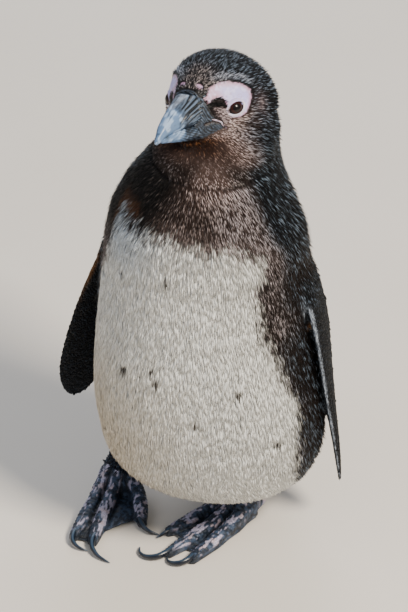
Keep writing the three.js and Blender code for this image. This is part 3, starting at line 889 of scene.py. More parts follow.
BELLY_SPOTS = [
    (-0.6, -102.6, 178.8, 1.7), (-29.7, -94.5, 177.6, 1.9), (-4.2, -101.5, 186.5, 1.4),
    (59.8, -87.2, 171.2, 1.7), (30.6, -102.2, 145.2, 1.9), (84.0, -69.4, 118.0, 1.8),
    (-33.6, -85.7, 258.9, 1.3), (7.0, -99.6, 270.5, 1.2),
]  # x, y, z, radius
FEATHER_REACH = 7  # the tips that show hang this far below their roots
for x, y, z, radius in BELLY_SPOTS:
    gap = np.hypot(P[:, 0] - x, P[:, 2] - z - FEATHER_REACH) + 99 * (P[:, 1] > y + 12)
    spot = ramp(radius + 1.4, radius + 0.2, gap)
    root = painted(root, count, ("#2B241F", spot))
    tip = painted(tip, count, ("#2B241F", spot))
print("share of pale tips:", tip_share.min().round(2), "to", tip_share.max().round(2))

# %% [markdown]
# ## Keep all of that on the skin
#
# Named attributes carry each value on the skin's points. A map of the skin is made too, by
# Blender's own unwrap by angle. Each feather will take its root's place on that map.

# %% Store the attributes and unwrap the skin
def store(mesh, name, values):
    kinds = {1: ("FLOAT", "value"), 3: ("FLOAT_VECTOR", "vector"), 4: ("FLOAT_COLOR", "color")}
    values = np.asarray(values, np.float32)
    kind, key = kinds[1 if values.ndim == 1 else values.shape[1]]
    layer = mesh.attributes.get(name) or mesh.attributes.new(name, kind, "POINT")
    layer.data.foreach_set(key, values.ravel())


def colour_column(values):
    return np.concatenate([values, np.ones((len(values), 1))], 1)


def first_corner(mesh, values):
    """For each face, what its first corner's point holds."""
    corners = np.empty(len(mesh.loops), np.int32)
    mesh.loops.foreach_get("vertex_index", corners)
    starts = np.empty(len(mesh.polygons), np.int32)
    mesh.polygons.foreach_get("loop_start", starts)
    return values[corners[starts]].astype(np.int32)


FIELDS = {
    "lie": lie,
    "feather_length": feather_length * MM,
    "feather_width": feather_width * MM,
    "lift": lift,
    "density": density,
    "bare": bare,
    "tip_share": tip_share,
    "root_tint": colour_column(root),
    "tip_tint": colour_column(tip),
}
for name, values in FIELDS.items():
    store(skin_mesh, name, values)
bed = as_object("feather_bed", skin_mesh)
skin_mesh.uv_layers.new(name="skin_map")
bpy.context.view_layer.objects.active = bed
bed.select_set(True)
bpy.ops.object.mode_set(mode="EDIT")
bpy.ops.mesh.select_all(action="SELECT")
bpy.ops.uv.smart_project(angle_limit=math.radians(66), island_margin=0.002)
bpy.ops.object.mode_set(mode="OBJECT")
bed.select_set(False)
print("attributes:", [a.name for a in skin_mesh.attributes if not a.name.startswith(".")])

# %% [markdown]
# ## One feather
#
# A feather here is a closed lance of eight triangles, one unit long along Y: two root corners,
# two at its widest, a tip and a keel point on top. It is solid, so it has an outside from every
# direction, and so plain that 160,000 of them stay light.

# %% The feather that is repeated
vane_mesh = bpy.data.meshes.new("vane")
VANE_POINTS = [(-0.34, 0, 0), (0.34, 0, 0), (-0.5, 0.55, 0), (0.5, 0.55, 0), (0, 1, -0.12), (0, 0.5, 0.17)]
VANE_FACES = [(0, 1, 5), (0, 5, 2), (1, 3, 5), (2, 5, 4), (5, 3, 4), (0, 2, 3), (0, 3, 1), (2, 4, 3)]
vane_mesh.from_pydata(VANE_POINTS, [], VANE_FACES)
store(vane_mesh, "leaf", np.array([(x, y, 0) for x, y, z in VANE_POINTS]))
vane_mesh.polygons.foreach_set("use_smooth", [True] * len(VANE_FACES))
vane = as_object("vane", vane_mesh)
check = bmesh.new()
check.from_mesh(vane_mesh)
print("feather volume is plus:", check.calc_volume(signed=True) > 0)
check.free()

# %% [markdown]
# ## Lay the feathers with Geometry Nodes
#
# One node tree lays any patch of the coat. It scatters points over the faces of that patch,
# as many as the density asks, leaves out those on bare skin, turns each feather to the lie with
# its tip lifted, scales it, and joins them all into one plain mesh. Every feather carries its
# colours and its root's place on the skin's map.

# %% The node tree
lay = bpy.data.node_groups.new("lay_feathers", "GeometryNodeTree")
INPUTS = {"Skin": "Geometry", "Patch": "Int", "Feathers per mm2": "Float", "Seed": "Int",
          "Feather": "Object", "Finish": "Material"}
for name, kind in INPUTS.items():
    lay.interface.new_socket(name, in_out="INPUT", socket_type="NodeSocket" + kind)
lay.interface.new_socket("Coat", in_out="OUTPUT", socket_type="NodeSocketGeometry")
given = add_node(lay, "NodeGroupInput").node.outputs
KINDS = {"lie": "FLOAT_VECTOR", "skin_map": "FLOAT_VECTOR", "leaf": "FLOAT_VECTOR",
         "root_place": "FLOAT_VECTOR", "patch_number": "INT", "feather_length": "FLOAT",
         "feather_width": "FLOAT", "lift": "FLOAT", "density": "FLOAT", "bare": "FLOAT",
         "tip_share": "FLOAT"}
value = {
    name: add_node(lay, "GeometryNodeInputNamedAttribute", {"Name": name}, data_type=kind)
    for name, kind in KINDS.items()
}
print("inputs of the tree:", list(INPUTS))

# %% [markdown]
# No two feathers match. Each draws its own numbers from the one seed, and what is added to the
# seed tells the draws apart: how pale its tip is, its shade, lean, stray, width and length.

# %% Random numbers for each feather
DRAWS = {
    "draw paler": (5, 0.0, 1.0), "draw shade": (6, 0.0, 1.0), "draw lean": (7, 0.5, 1.5),
    "draw stray": (8, (-1, -1, -1), (1, 1, 1)), "draw width": (9, 0.8, 1.2),
    "draw length": (10, 0.75, 1.2),
}  # offset to the seed, least, most
for name, (offset, least, most) in DRAWS.items():
    seed = add_node(lay, "ShaderNodeMath", {0: given["Seed"], 1: offset}, operation="ADD")
    kind, first, output = ("FLOAT", 2, 1) if isinstance(least, float) else ("FLOAT_VECTOR", 0, 0)
    inputs = {first: least, first + 1: most, "Seed": seed}
    value[name] = add_node(lay, "FunctionNodeRandomValue", inputs, output, data_type=kind)
print("random draws:", len(DRAWS))

# %% Points over the faces of one patch, none on bare skin
MM2_IN_M2 = 1e6
per_mm2 = {0: value["density"], 1: given["Feathers per mm2"]}
per_mm2 = add_node(lay, "ShaderNodeMath", per_mm2, operation="MULTIPLY")
per_m2 = add_node(lay, "ShaderNodeMath", {0: per_mm2, 1: MM2_IN_M2}, operation="MULTIPLY")
in_patch = {2: value["patch_number"], 3: given["Patch"]}
in_patch = add_node(lay, "FunctionNodeCompare", in_patch, data_type="INT", operation="EQUAL")
scattered = add_node(
    lay, "GeometryNodeDistributePointsOnFaces",
    {"Mesh": given["Skin"], "Selection": in_patch, "Density": per_m2, "Seed": given["Seed"]},
    distribute_method="RANDOM",
)
value["upright"] = scattered.node.outputs["Normal"]
on_bare = add_node(lay, "FunctionNodeCompare", {0: value["bare"], 1: 0.0}, operation="GREATER_THAN")
points = add_node(lay, "GeometryNodeDeleteGeometry", {"Geometry": scattered, "Selection": on_bare},
                  domain="POINT")
print("scattered by:", scattered.node.bl_label)

# %% The sums that tint, turn and size each feather
NUMBERS, VECTORS = "ShaderNodeMath", "ShaderNodeVectorMath"
TIP_CONTRAST = 3.5  # how sharply pale-tipped feathers part from plain ones
SUMS = [
    ("paler", NUMBERS, "SUBTRACT", {0: "tip_share", 1: "draw paler"}),
    ("paler", NUMBERS, "MULTIPLY", {0: "paler", 1: TIP_CONTRAST}),
    ("tipped", NUMBERS, "ADD", {0: "paler", 1: 0.5}),
    ("raised", NUMBERS, "MULTIPLY", {0: "lift", 1: "draw lean"}),
    ("lean", VECTORS, "SCALE", {0: "upright", "Scale": "raised"}),
    ("apart", NUMBERS, "MULTIPLY", {0: "lift", 1: 0.6}),
    ("apart", NUMBERS, "ADD", {0: "apart", 1: 0.035}),
    ("stray", VECTORS, "SCALE", {0: "draw stray", "Scale": "apart"}),
    ("way", VECTORS, "ADD", {0: "lie", 1: "lean"}),
    ("way", VECTORS, "ADD", {0: "way", 1: "stray"}),
    ("wide", NUMBERS, "MULTIPLY", {0: "feather_width", 1: "draw width"}),
    ("long", NUMBERS, "MULTIPLY", {0: "feather_length", 1: "draw length"}),
]  # name, kind of node, operation, inputs
for name, kind, operation, inputs in SUMS:
    inputs = {key: value.get(item, item) for key, item in inputs.items()}
    value[name] = add_node(lay, kind, inputs, operation=operation)
value["tipped"].node.use_clamp = True
print("sums:", len(SUMS))

# %% One feather on each point, all joined into one mesh
KEPT = {"tipped": ("FLOAT", value["tipped"]), "shade": ("FLOAT", value["draw shade"]),
        "root_place": ("FLOAT_VECTOR", value["skin_map"])}
for name, (kind, item) in KEPT.items():
    points = add_node(lay, "GeometryNodeStoreNamedAttribute",
                      {"Geometry": points, "Name": name, "Value": item}, data_type=kind)
ALIGN = "FunctionNodeAlignRotationToVector"
turned = add_node(lay, ALIGN, {"Vector": value["way"]}, axis="Y")
faced = {"Rotation": turned, "Vector": value["upright"]}
faced = add_node(lay, ALIGN, faced, axis="Z", pivot_axis="Y")
size = {0: value["wide"], 1: value["long"], 2: value["wide"]}
size = add_node(lay, "ShaderNodeCombineXYZ", size)
feather = add_node(lay, "GeometryNodeObjectInfo", {"Object": given["Feather"]}, "Geometry")
laid = add_node(lay, "GeometryNodeInstanceOnPoints",
                {"Points": points, "Instance": feather, "Rotation": faced, "Scale": size})
coat = add_node(lay, "GeometryNodeRealizeInstances", {0: laid})
PATCH_ON_MAP = 0.003  # how wide one feather's own patch is on the map
spread = {0: value["leaf"], 1: (PATCH_ON_MAP,) * 3, 2: value["root_place"]}
spread = add_node(lay, VECTORS, spread, operation="MULTIPLY_ADD")
coat = add_node(lay, "GeometryNodeStoreNamedAttribute",
                {"Geometry": coat, "Name": "OFBake", "Value": spread},
                data_type="FLOAT2", domain="CORNER")
for name in KINDS:
    if name not in ("leaf", "patch_number"):
        coat = add_node(lay, "GeometryNodeRemoveAttribute", {"Name": name, "Geometry": coat})
coat = add_node(lay, "GeometryNodeSetMaterial", {"Geometry": coat, "Material": given["Finish"]})
add_node(lay, "NodeGroupOutput", {0: coat})
print("nodes in the tree:", len(lay.nodes))

# %% [markdown]
# ## What feathers are made of
#
# Feather is keratin in fine barbs: matt, with a weak silky gloss along the vane. The paint
# mixes root and tip colour along each feather and shifts each feather's lightness a little, so
# that no two neighbours match. The same colours lie on the skin below.

# %% Feather paint
coat_paint, tree, shader = new_material(
    "barbed_feather_keratin", Roughness=0.55, Specular_IOR_Level=0.14
)
TOLD = {"leaf": "Vector", "tipped": "Fac", "shade": "Fac", "root_tint": "Color", "tip_tint": "Color"}
told = {
    name: add_node(tree, "ShaderNodeAttribute", None, output, attribute_name=name)
    for name, output in TOLD.items()
}
along_vane = add_node(tree, "ShaderNodeSeparateXYZ", {0: told["leaf"]}, 1)
toward_tip = add_node(tree, "ShaderNodeMapRange", {0: along_vane, 1: 0.3, 2: 0.6},
                      interpolation_type="SMOOTHSTEP")
share = add_node(tree, NUMBERS, {0: toward_tip, 1: told["tipped"]}, operation="MULTIPLY")
sides = {0: share, 6: told["root_tint"], 7: told["tip_tint"]}
colour = add_node(tree, "ShaderNodeMix", sides, 2, data_type="RGBA")
light = add_node(tree, "ShaderNodeMapRange", {0: told["shade"], 3: 0.78, 4: 1.18})
colour = add_node(tree, VECTORS, {0: colour, "Scale": light}, operation="SCALE")
fill(shader, {"Base Color": colour})
print("feather finish:", coat_paint.name)

# %% [markdown]
# ## Divide the coat into patches
#
# Each patch of the coat is one mesh of under 200,000 triangles. The faces are shared out by
# place: flippers, tail and legs, head, hood, belly and back.

# %% Number the faces by patch
COATS = ["coat_belly_right", "coat_belly_left", "coat_hood_right", "coat_hood_left", "coat_flank",
         "coat_back_right", "coat_back_left", "coat_neck", "coat_face", "coat_crown",
         "coat_flipper_left", "coat_flipper_right", "coat_rump"]
behind = np.abs(angle) > 85
in_hood = height > table(BIB_EDGE, angle) - 6
CHOICES = [
    ("coat_flipper_left", on_flipper["left"] > 0.5),
    ("coat_flipper_right", on_flipper["right"] > 0.5),
    ("coat_rump", (on_tail > 0.5) | (on_legs > 0.5) | (height < 60)),
    ("coat_face", (on_head > 0.5) & (h[:, 0] - 0.6 * np.minimum(h[:, 2], 0) > 2)),
    ("coat_crown", on_head > 0.5),
    ("coat_neck", height > 318),
    ("coat_back_right", behind & (angle < 0)),
    ("coat_back_left", behind),
    ("coat_hood_right", in_hood & (angle < 20)),
    ("coat_hood_left", in_hood),
    ("coat_flank", (angle > 0) & (white < 0)),
    ("coat_belly_left", angle > -6),
]
chosen = [COATS.index(name) for name, _ in CHOICES]
on_point = np.select([where for _, where in CHOICES], chosen, COATS.index("coat_belly_right"))
numbers = skin_mesh.attributes.new("patch_number", "INT", "FACE")
numbers.data.foreach_set("value", first_corner(skin_mesh, on_point))
print("patches:", len(COATS))

# %% Lay the coat
def triangles_in(mesh):
    return sum(len(p.vertices) - 2 for p in mesh.polygons)


sockets = {s.name: s.identifier for s in lay.interface.items_tree if s.in_out == "INPUT"}
coat_triangles = 0
for number, name in enumerate(COATS):
    modifier = bed.modifiers.new("lay", "NODES")
    modifier.node_group = lay
    modifier[sockets["Patch"]] = number
    modifier[sockets["Feathers per mm2"]] = 1.0
    modifier[sockets["Seed"]] = 17 + number
    modifier[sockets["Feather"]] = vane
    modifier[sockets["Finish"]] = coat_paint
    piece = as_object(name, evaluated_mesh(bed))
    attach(piece, "root")
    coat_triangles += len(piece.data.polygons)
    print(name, len(piece.data.polygons), "triangles")
print("feathers laid:", coat_triangles // len(VANE_FACES))

# %% [markdown]
# ## The skin that shows
#
# Under the coat the skin only closes the gaps between feathers, so it can be coarse there. The
# face and feet keep every point. Decimate thins the rest, and each remaining point then takes
# its values from the nearest point of the full mesh.

# %% Thin the skin under the coat
shown = as_object("skin", skin_mesh.copy())
thin = shown.vertex_groups.new(name="thin")
covered = np.flatnonzero((bare <= -3) & (on_feet <= 0.05))
thin.add([int(i) for i in covered], 1.0, "REPLACE")
modifier = shown.modifiers.new("thin", "DECIMATE")
modifier.ratio = 0.34
modifier.vertex_group = "thin"
modifier.vertex_group_factor = 10.0
thinned = evaluated_mesh(shown)
shown.data = thinned
shown.vertex_groups.clear()
print("skin that shows:", triangles_in(thinned), "triangles")

full = KDTree(len(P))
for k, p in enumerate(P):
    full.insert(p, k)
full.balance()
Q = points_of(thinned)
nearest = np.array([full.find(q)[1] for q in Q])

# %% [markdown]
# ## Bare skin of the face
#
# The patch over the eye is bare, thin and pink to lilac, paler in the middle where the blood
# shows least. Small pores and folds break it up, and there are dark specks along its edge. The
# gape has a pale lip over a dark red slit.

# %% Colours of the bare face
hq = to_head(Q)
side_y = np.abs(hq[:, 1])
far_in = bare[nearest]
patch_in = np.maximum(patch, 2.5 * beside_culmen)[nearest]
pink = ramp(9, 16, hq[:, 0])
lilac = ramp(1.0, 4.5, patch_in + 1.2 * mottle(hq, 5, 41)) * (1 - 0.7 * pink)
vein = bell(mottle(hq * [1, 1, 1.6], 3.2, 46), 0.07)
specks = ramp(0.35, 0.5, mottle(hq, 1.3, 43)) * ramp(2.0, 0.4, patch_in)
face_tint = painted(
    "#BC9FC0", len(Q), ("#B5B0E6", lilac), ("#B0849A", 0.5 * pink + 0.5 * ramp(2.4, 0.8, patch_in)),
    ("#A78FB4", 0.5 * vein), ("#CFCBF4", 0.6 * ramp(0.1, 0.5, mottle(hq, 2.0, 42))),
    ("#4A3A3E", 0.7 * specks), ("#8C6E80", 0.6 * ramp(0.8, 0.1, patch_in)),
)
in_q = under_horn[nearest]
horn_skin = ramp(-1.4, -0.4, in_q)
wrinkle = np.sin(2 * math.pi * in_q / 1.9 + 5.0 * mottle(hq * [1, 1, 0.6], 4.0, 44))
wrinkle = wrinkle + 0.8 * mottle(hq, 1.1, 45)
# Painted shade in the troughs of the wrinkles and a painted highlight on their crests.
horn_tint = painted("#2C3644", len(Q), ("#07090C", ramp(0.2, -0.6, wrinkle)),
                    ("#5D6E84", 0.6 * ramp(0.7, 1.3, wrinkle)))
face_tint = mixed(face_tint, horn_tint, horn_skin)
gap_q = distance_to_path(hq[:, [0, 2]], flat_gape)[0]
slit = ramp(1.3, 0.7, gap_q) * is_head[nearest] * (side_y > 8)
face_tint = painted(face_tint, len(Q), ("#170709", slit))
Q = Q + normals_of(thinned) * (0.32 * horn_skin * np.clip(wrinkle, -1.2, 1.2))[:, None]
far_in = np.maximum(far_in, np.where(slit > 0.3, 0.4, FAR_OUT))
under_tint = root[nearest] * (0.75 + 0.2 * is_white[nearest])[:, None]
tint_q = mixed(under_tint, face_tint, ramp(-0.25, 0.25, far_in))
print("bare face points:", int((far_in > 0).sum()))

# %% [markdown]
# ## Webbed feet
#
# Three toes on each foot point forward, joined by webs. The skin is charcoal blue, broken by
# pinkish white blotches that run along the tops of the toes, and covered with small scutes that
# fold across each toe. Toe lines give every point its place along and across the nearest toe.

# %% Place along the toes
FEET = {"left": (1, (36.5, -6.2), 22, (11, 1, -7)), "right": (-1, (-69.5, -7.2), -6, (31, 0, -3))}
TOE_LENGTH = (57, 76, 72)
TOE_ROOT = (10, 0, -9)
toes = []  # start and end of each toe's middle line, on the floor
for side, at, turn, spreads in FEET.values():
    face_way = math.radians(-90 - turn)
    ahead = np.array([math.cos(face_way), math.sin(face_way)])
    left_way = np.array([-ahead[1], ahead[0]])
    for length, across, spread_angle in zip(TOE_LENGTH, TOE_ROOT, spreads):
        toe_angle = math.radians(-side * spread_angle)
        way = ahead * math.cos(toe_angle) + left_way * math.sin(toe_angle)
        start = np.array(at) - side * across * left_way
        toes.append((start, start + way * length))

best = np.full(len(Q), 1e9)
second = np.full(len(Q), 1e9)
number, share, beside = np.zeros((3, len(Q)))
for k, (start, end) in enumerate(toes):
    length = np.linalg.norm(end - start)
    way = (end - start) / length
    place = Q[:, :2] - start
    t = place @ way
    across = place @ np.array([-way[1], way[0]])
    gap = np.hypot(across, np.maximum(0, t - length) + np.maximum(0, -t))
    closer = gap < best
    second = np.where(closer, best, np.minimum(second, gap))
    best = np.where(closer, gap, best)
    number = np.where(closer, k, number)
    share = np.where(closer, t / length, share)
    beside = np.where(closer, across, beside)
between = second - best
print("toes:", len(toes))

# %% Colours of the feet
foot_q = ramp(0.3, 0.6, on_feet[nearest])
N_q = normals_of(thinned)
toe_top = ramp(7.5, 5.0, np.abs(beside)) * ramp(4.5, 7.0, Q[:, 2])
lengthwise = np.stack([beside * 1.3, share * 44, number * 40.0], 1)
blotch = 0.8 * mottle(lengthwise, 5.0, 51) + 0.9 * mottle(lengthwise * [1, 0.7, 1], 1.5, 52)
pale_toe = ramp(0.0, 0.35, blotch - 0.05) * toe_top * ramp(1.0, 0.85, share)
pale_web = ramp(0.5, 0.7, mottle(Q, 5, 53)) * (1 - toe_top) * 0.25
foot_tint = painted(
    "#1D2838", len(Q), ("#40526C", ramp(-0.3, 0.5, mottle(Q, 2.0, 54))), ("#BDB8D0", pale_toe),
    ("#C9B0B0", pale_toe * ramp(0.1, 0.5, mottle(Q, 4.0, 55)) * 0.6), ("#8A8F98", pale_web),
    ("#222B38", ramp(0.93, 1.0, share)), ("#1D2229", ramp(2.5, 0.5, Q[:, 2])),
)
print("blotched points:", int((pale_toe * foot_q > 0.5).sum()))

# %% [markdown]
# The relief of the feet is real shape: folds across each toe every few millimetres, fine lumps
# between them, and a crease where toe and web meet, which is also painted dark as shade.

# %% Folds across each toe, and a crease where toe and web meet
FOLD_STEP = 3.2
FOLDED_LENGTH = 72  # of a toe, over which the folds are counted
fold = np.sin(2 * math.pi * (share * FOLDED_LENGTH / FOLD_STEP) + 1.5 * mottle(Q, 6, 56))
relief = 0.28 * fold * toe_top + 0.25 * mottle(Q, 2.4, 57)
crease = bell(between, 2.6) * ramp(9.5, 7, np.abs(beside))
crease = np.maximum(0.6 * bell(np.abs(beside) - 7.2, 1.3), crease)
crease = crease * ramp(2.5, 4.5, Q[:, 2]) * ramp(0.04, 0.2, share)
relief = (relief + 0.5 * toe_top - 2.0 * crease) * foot_q * ramp(0.8, 2.0, Q[:, 2])
# Painted shade in the crease between toe and web.
foot_tint = painted(foot_tint, len(Q), ("#0E1218", 0.85 * crease))
tint_q = mixed(tint_q, foot_tint, foot_q)
Q = Q + N_q * relief[:, None]
print("deepest crease:", round(-relief.min(), 2), "mm")

# %% [markdown]
# The solids' toes end bluntly. The skin runs on by some 8 mm past those ends and narrows, so
# that each claw grows out of a slender tip.

# %% Run the toes on past the solids' blunt ends
TOE_SHIFT = np.array([(-5, -7), (-6, -7), (-5, -5), (-6, -2), (2, -7), (-2.5, -9)], float)
pull = np.zeros((len(Q), 2))
total = np.zeros(len(Q))
for k, (start, end) in enumerate(toes):
    length = np.linalg.norm(end - start)
    way = (end - start) / length
    t = np.clip((Q[:, :2] - start) @ way / length, 0, 1.1)
    gap = np.linalg.norm(Q[:, :2] - start - t[:, None] * (end - start), axis=1)
    weight = 1 / (3 + gap) ** 3
    pull += TOE_SHIFT[k] * (weight * ramp(0.3, 1.0, t) * t)[:, None]
    total += weight
    narrow = ramp(0.80, 1.06, t) * (number == k) * foot_q
    side_way = np.array([-way[1], way[0]])
    Q[:, :2] -= side_way * (0.42 * narrow * beside)[:, None]
    Q[:, 2] *= 1 - 0.22 * narrow
Q[:, :2] += pull / total[:, None] * foot_q[:, None]
put_points(thinned, Q)
store(thinned, "root_tint", colour_column(tint_q))
store(thinned, "bare", far_in)
print("foot points:", int((foot_q > 0.5).sum()))

# %% [markdown]
# ## Paint for skin
#
# Skin under feathers is dull. Bare facial skin is moist enough for a soft gloss, with pores
# under a millimetre apart that only show as a fine bump. Foot skin is leathery: scutes about
# 1.6 mm across from a cell pattern, with a broken sheen.

# %% Face and foot skin
BUMP, SPREAD = "ShaderNodeBump", "ShaderNodeMapRange"
CELLS, NOISE = "ShaderNodeTexVoronoi", "ShaderNodeTexNoise"


def grained(name, attribute, texture, inputs, strength, distance, gloss=None, **sockets):
    """A paint with each point's own colour and a fine bump from one texture."""
    material, tree, shader = new_material(name, **sockets)
    colour = add_node(tree, "ShaderNodeAttribute", attribute_name=attribute)
    here = add_node(tree, "ShaderNodeTexCoord", None, "Object")
    grain = add_node(tree, texture, {"Vector": here, **inputs})
    bump = add_node(tree, BUMP, {"Height": grain, "Strength": strength, "Distance": distance})
    fill(shader, {"Base Color": colour, "Normal": bump})
    if gloss:
        fill(shader, {"Roughness": add_node(tree, SPREAD, {0: grain, 3: gloss[0], 4: gloss[1]})})
    return material


face_paint = grained(
    "thin_facial_skin", "root_tint", CELLS, {"Scale": 1400.0}, 0.6, 0.00012,
    Roughness=0.48, Specular_IOR_Level=0.4,
)
foot_paint, tree, shader = new_material("leathery_foot_skin", Specular_IOR_Level=0.5)
here = add_node(tree, "ShaderNodeTexCoord", None, "Object")
colour = add_node(tree, "ShaderNodeAttribute", attribute_name="root_tint")
scutes = add_node(tree, CELLS, {"Scale": 620.0, "Vector": here}, feature="DISTANCE_TO_EDGE")
plate = add_node(tree, SPREAD, {0: scutes, 1: 0.0, 2: 0.12, 3: 0.0, 4: 1.0})
seam = add_node(tree, SPREAD, {0: plate, 3: 0.62, 4: 1.0})
colour = add_node(tree, VECTORS, {0: colour, "Scale": seam}, operation="SCALE")
dirt = add_node(tree, NOISE, {"Scale": 260.0, "Detail": 4.0, "Vector": here})
gloss = add_node(tree, SPREAD, {0: dirt, 3: 0.38, 4: 0.62})
plates = add_node(tree, BUMP, {"Height": plate, "Strength": 0.8, "Distance": 0.0004})
both = {"Height": dirt, "Strength": 0.5, "Distance": 0.0003, "Normal": plates}
fill(shader, {"Base Color": colour, "Roughness": gloss, "Normal": add_node(tree, BUMP, both)})

for paint in (face_paint, foot_paint):
    thinned.materials.append(paint)
thinned.polygons.foreach_set("material_index", first_corner(thinned, foot_q > 0.5))
thinned.polygons.foreach_set("use_smooth", [True] * len(thinned.polygons))
for name in FIELDS:
    if name not in ("bare", "root_tint"):
        thinned.attributes.remove(thinned.attributes[name])
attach(shown, "root")
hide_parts(*FLESH)
print("skin done")

# %% [markdown]
# ## Eyes
#
# The ball is turned like a bead on a lathe: a profile of radius against angle from the eye's
# axis, with the cornea standing 0.5 mm out of the ball. The iris is a dark red-brown, hardly
# lighter than the pupil. A clear wet coat over it gives the small bright highlight.

# %% Turn the two eyes
def revolved(profile, around):
    """Points and faces of a closed bead: the profile runs from the front pole to the back."""
    points = [(0.0, 0.0, profile[0][1])]
    for out, along in profile[1:-1]:
        for k in range(around):
            turn = 2 * math.pi * k / around
            points.append((out * math.cos(turn), out * math.sin(turn), along))
    points.append((0.0, 0.0, profile[-1][1]))
    faces = [(0, 1 + k, 1 + (k + 1) % around) for k in range(around)]
    for row in range(len(profile) - 3):
        low, high = 1 + row * around, 1 + (row + 1) * around
        for k in range(around):
            n = (k + 1) % around
            faces.append((low + k, high + k, high + n, low + n))
    last, end = 1 + (len(profile) - 3) * around, len(points) - 1
    faces += [(last + k, end, last + (k + 1) % around) for k in range(around)]
    return np.array(points), faces


def finished(name, points, faces, finish, replaced=(), tint=None):
    """A smooth mesh piece in millimetres that rides on the root."""
    mesh = bpy.data.meshes.new(name)
    mesh.from_pydata([tuple(p) for p in points * MM], [], faces)
    if tint is not None:
        store(mesh, "tint", colour_column(tint))
    body = bmesh.new()
    body.from_mesh(mesh)
    bmesh.ops.recalc_face_normals(body, faces=body.faces)
    body.to_mesh(mesh)
    body.free()
    mesh.polygons.foreach_set("use_smooth", [True] * len(mesh.polygons))
    mesh.materials.append(finish)
    piece = as_object(name, mesh)
    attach(piece, "root")
    if replaced:
        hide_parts(*replaced)
    return piece


def beside_eye(side, flat):
    """Places given along the eye's long, high and outward axes, on the left or right eye."""
    local = EYE_AT + flat @ np.stack([EYE_LONG, EYE_HIGH, EYE_AXIS])
    return from_head(local * [1, side, 1])


eye_paint, tree, shader = new_material(
    "wet_cornea_over_iris",
    Roughness=0.35, Specular_IOR_Level=0.1, Coat_Weight=0.45, Coat_Roughness=0.04,
)
fill(shader, {"Base Color": add_node(tree, "ShaderNodeAttribute", attribute_name="tint")})

steps = np.linspace(0, math.pi, 40)
eye_radius = EYE_RADIUS + 0.45 * bell(steps, 0.62) - 0.25 * ramp(0.9, 1.4, steps)
eye_profile = [(r * math.sin(a), r * math.cos(a)) for r, a in zip(eye_radius, steps)]
eye_points, eye_faces = revolved(eye_profile, 48)
off_axis = np.degrees(np.arctan2(np.hypot(eye_points[:, 0], eye_points[:, 1]), eye_points[:, 2]))
iris_tint = painted(
    "#0A0606", len(eye_points), ("#2A0D08", ramp(24, 28, off_axis)),
    ("#120605", ramp(34, 44, off_axis)), ("#080606", ramp(44, 50, off_axis)),
)
for name, side in (("eye_left", 1), ("eye_right", -1)):
    ball = beside_eye(side, eye_points)
    finished(name + "_ball", ball, eye_faces, eye_paint, [name], iris_tint)
print("eye radius:", EYE_RADIUS, "mm")

# %% [markdown]
# ## Lids
#
# A ring of pale flesh frames each eye: thick below, drawn into the bare patch above, with a thin
# dark rim against the ball. Lid flesh is thin and moist, so a little light passes under its
# surface. It is a closed tube round an almond, whose inner edge lies on the ball and whose outer
# edge meets the skin, found by casting a ray at it.

# %% Make the lid rings
skin_faces = [tuple(p.vertices) for p in thinned.polygons]
skin_finder = BVHTree.FromPolygons([Vector(p) for p in points_of(thinned)], skin_faces)
lid_paint = grained(
    "moist_lid_flesh", "tint", NOISE, {"Scale": 900.0, "Detail": 2.0}, 0.7, 0.0004,
    Roughness=0.4, Specular_IOR_Level=0.5, Subsurface_Weight=0.15, Subsurface_Scale=0.0015,
)


def bands(rings, around, joined):
    """Faces between neighbouring rings of points, the last of which may join the first."""
    faces = []
    for row in range(rings if joined else rings - 1):
        low, high = row * around, (row + 1) % rings * around
        for k in range(around):
            n = (k + 1) % around
            faces.append((low + k, low + n, high + n, high + k))
    return faces


LID_ROWS = [(-0.10, -0.75), (0.0, 0.05), (0.07, 0.42), (0.2, 0.72), (0.4, 0.75), (0.62, 0.55),
            (0.84, 0.25), (1.0, 0.0), (1.08, -0.7), (0.5, -1.1)]  # share outward, height
AROUND = 72
HIGH_UP = 16.0  # where the rays at the skin start, in millimetres out of the eye's middle
turn = 2 * math.pi * np.arange(AROUND) / AROUND
almond = np.abs(np.sin(turn)) ** 0.22
inner = np.stack([OPENING[0] * np.cos(turn), OPENING[1] * np.sin(turn) * almond], 1)
outer = np.stack([RING_OUT[0] * np.cos(turn), RING_OUT[1] * np.sin(turn)], 1)
on_ball = np.sqrt(np.maximum((EYE_RADIUS + 0.2) ** 2 - (inner**2).sum(1), 1.0))
for name, side in (("eyelid_left", 1), ("eyelid_right", -1)):
    on_skin = []
    for a, b in outer * 1.02:
        start, end = beside_eye(side, np.array([[a, b, HIGH_UP], [a, b, 0.0]]))
        hit = skin_finder.ray_cast(Vector(start), Vector(end - start).normalized(), 30)
        on_skin.append(HIGH_UP - hit[3] if hit[0] is not None and hit[3] < 22 else 4.0)
    on_skin = np.array(on_skin)
    for _ in range(6):
        on_skin = 0.5 * on_skin + 0.25 * (np.roll(on_skin, 1) + np.roll(on_skin, -1))
    rows, tints = [], []
    for share, height_up in LID_ROWS:
        s = np.clip(share, 0, 1)
        flat = inner * (1 - share) + outer * share
        level = on_ball * (1 - ramp(0, 1, s)) + on_skin * ramp(0, 1, s) + height_up
        rows.append(np.concatenate([flat, level[:, None]], 1))
        tints.append(painted("#DAD5E4", AROUND, ("#BDB6DC", ramp(-0.1, 0.7, np.sin(turn))),
                             ("#0E0A0A", float(share <= 0.08)), ("#B59AAC", 0.6 * (share >= 1.0))))
    ring = beside_eye(side, np.concatenate(rows))
    faces = bands(len(rows), AROUND, True)
    finished(name, ring, faces, lid_paint, (), np.concatenate(tints))
print("lid opening:", 2 * OPENING[0], "by", 2 * OPENING[1], "mm")

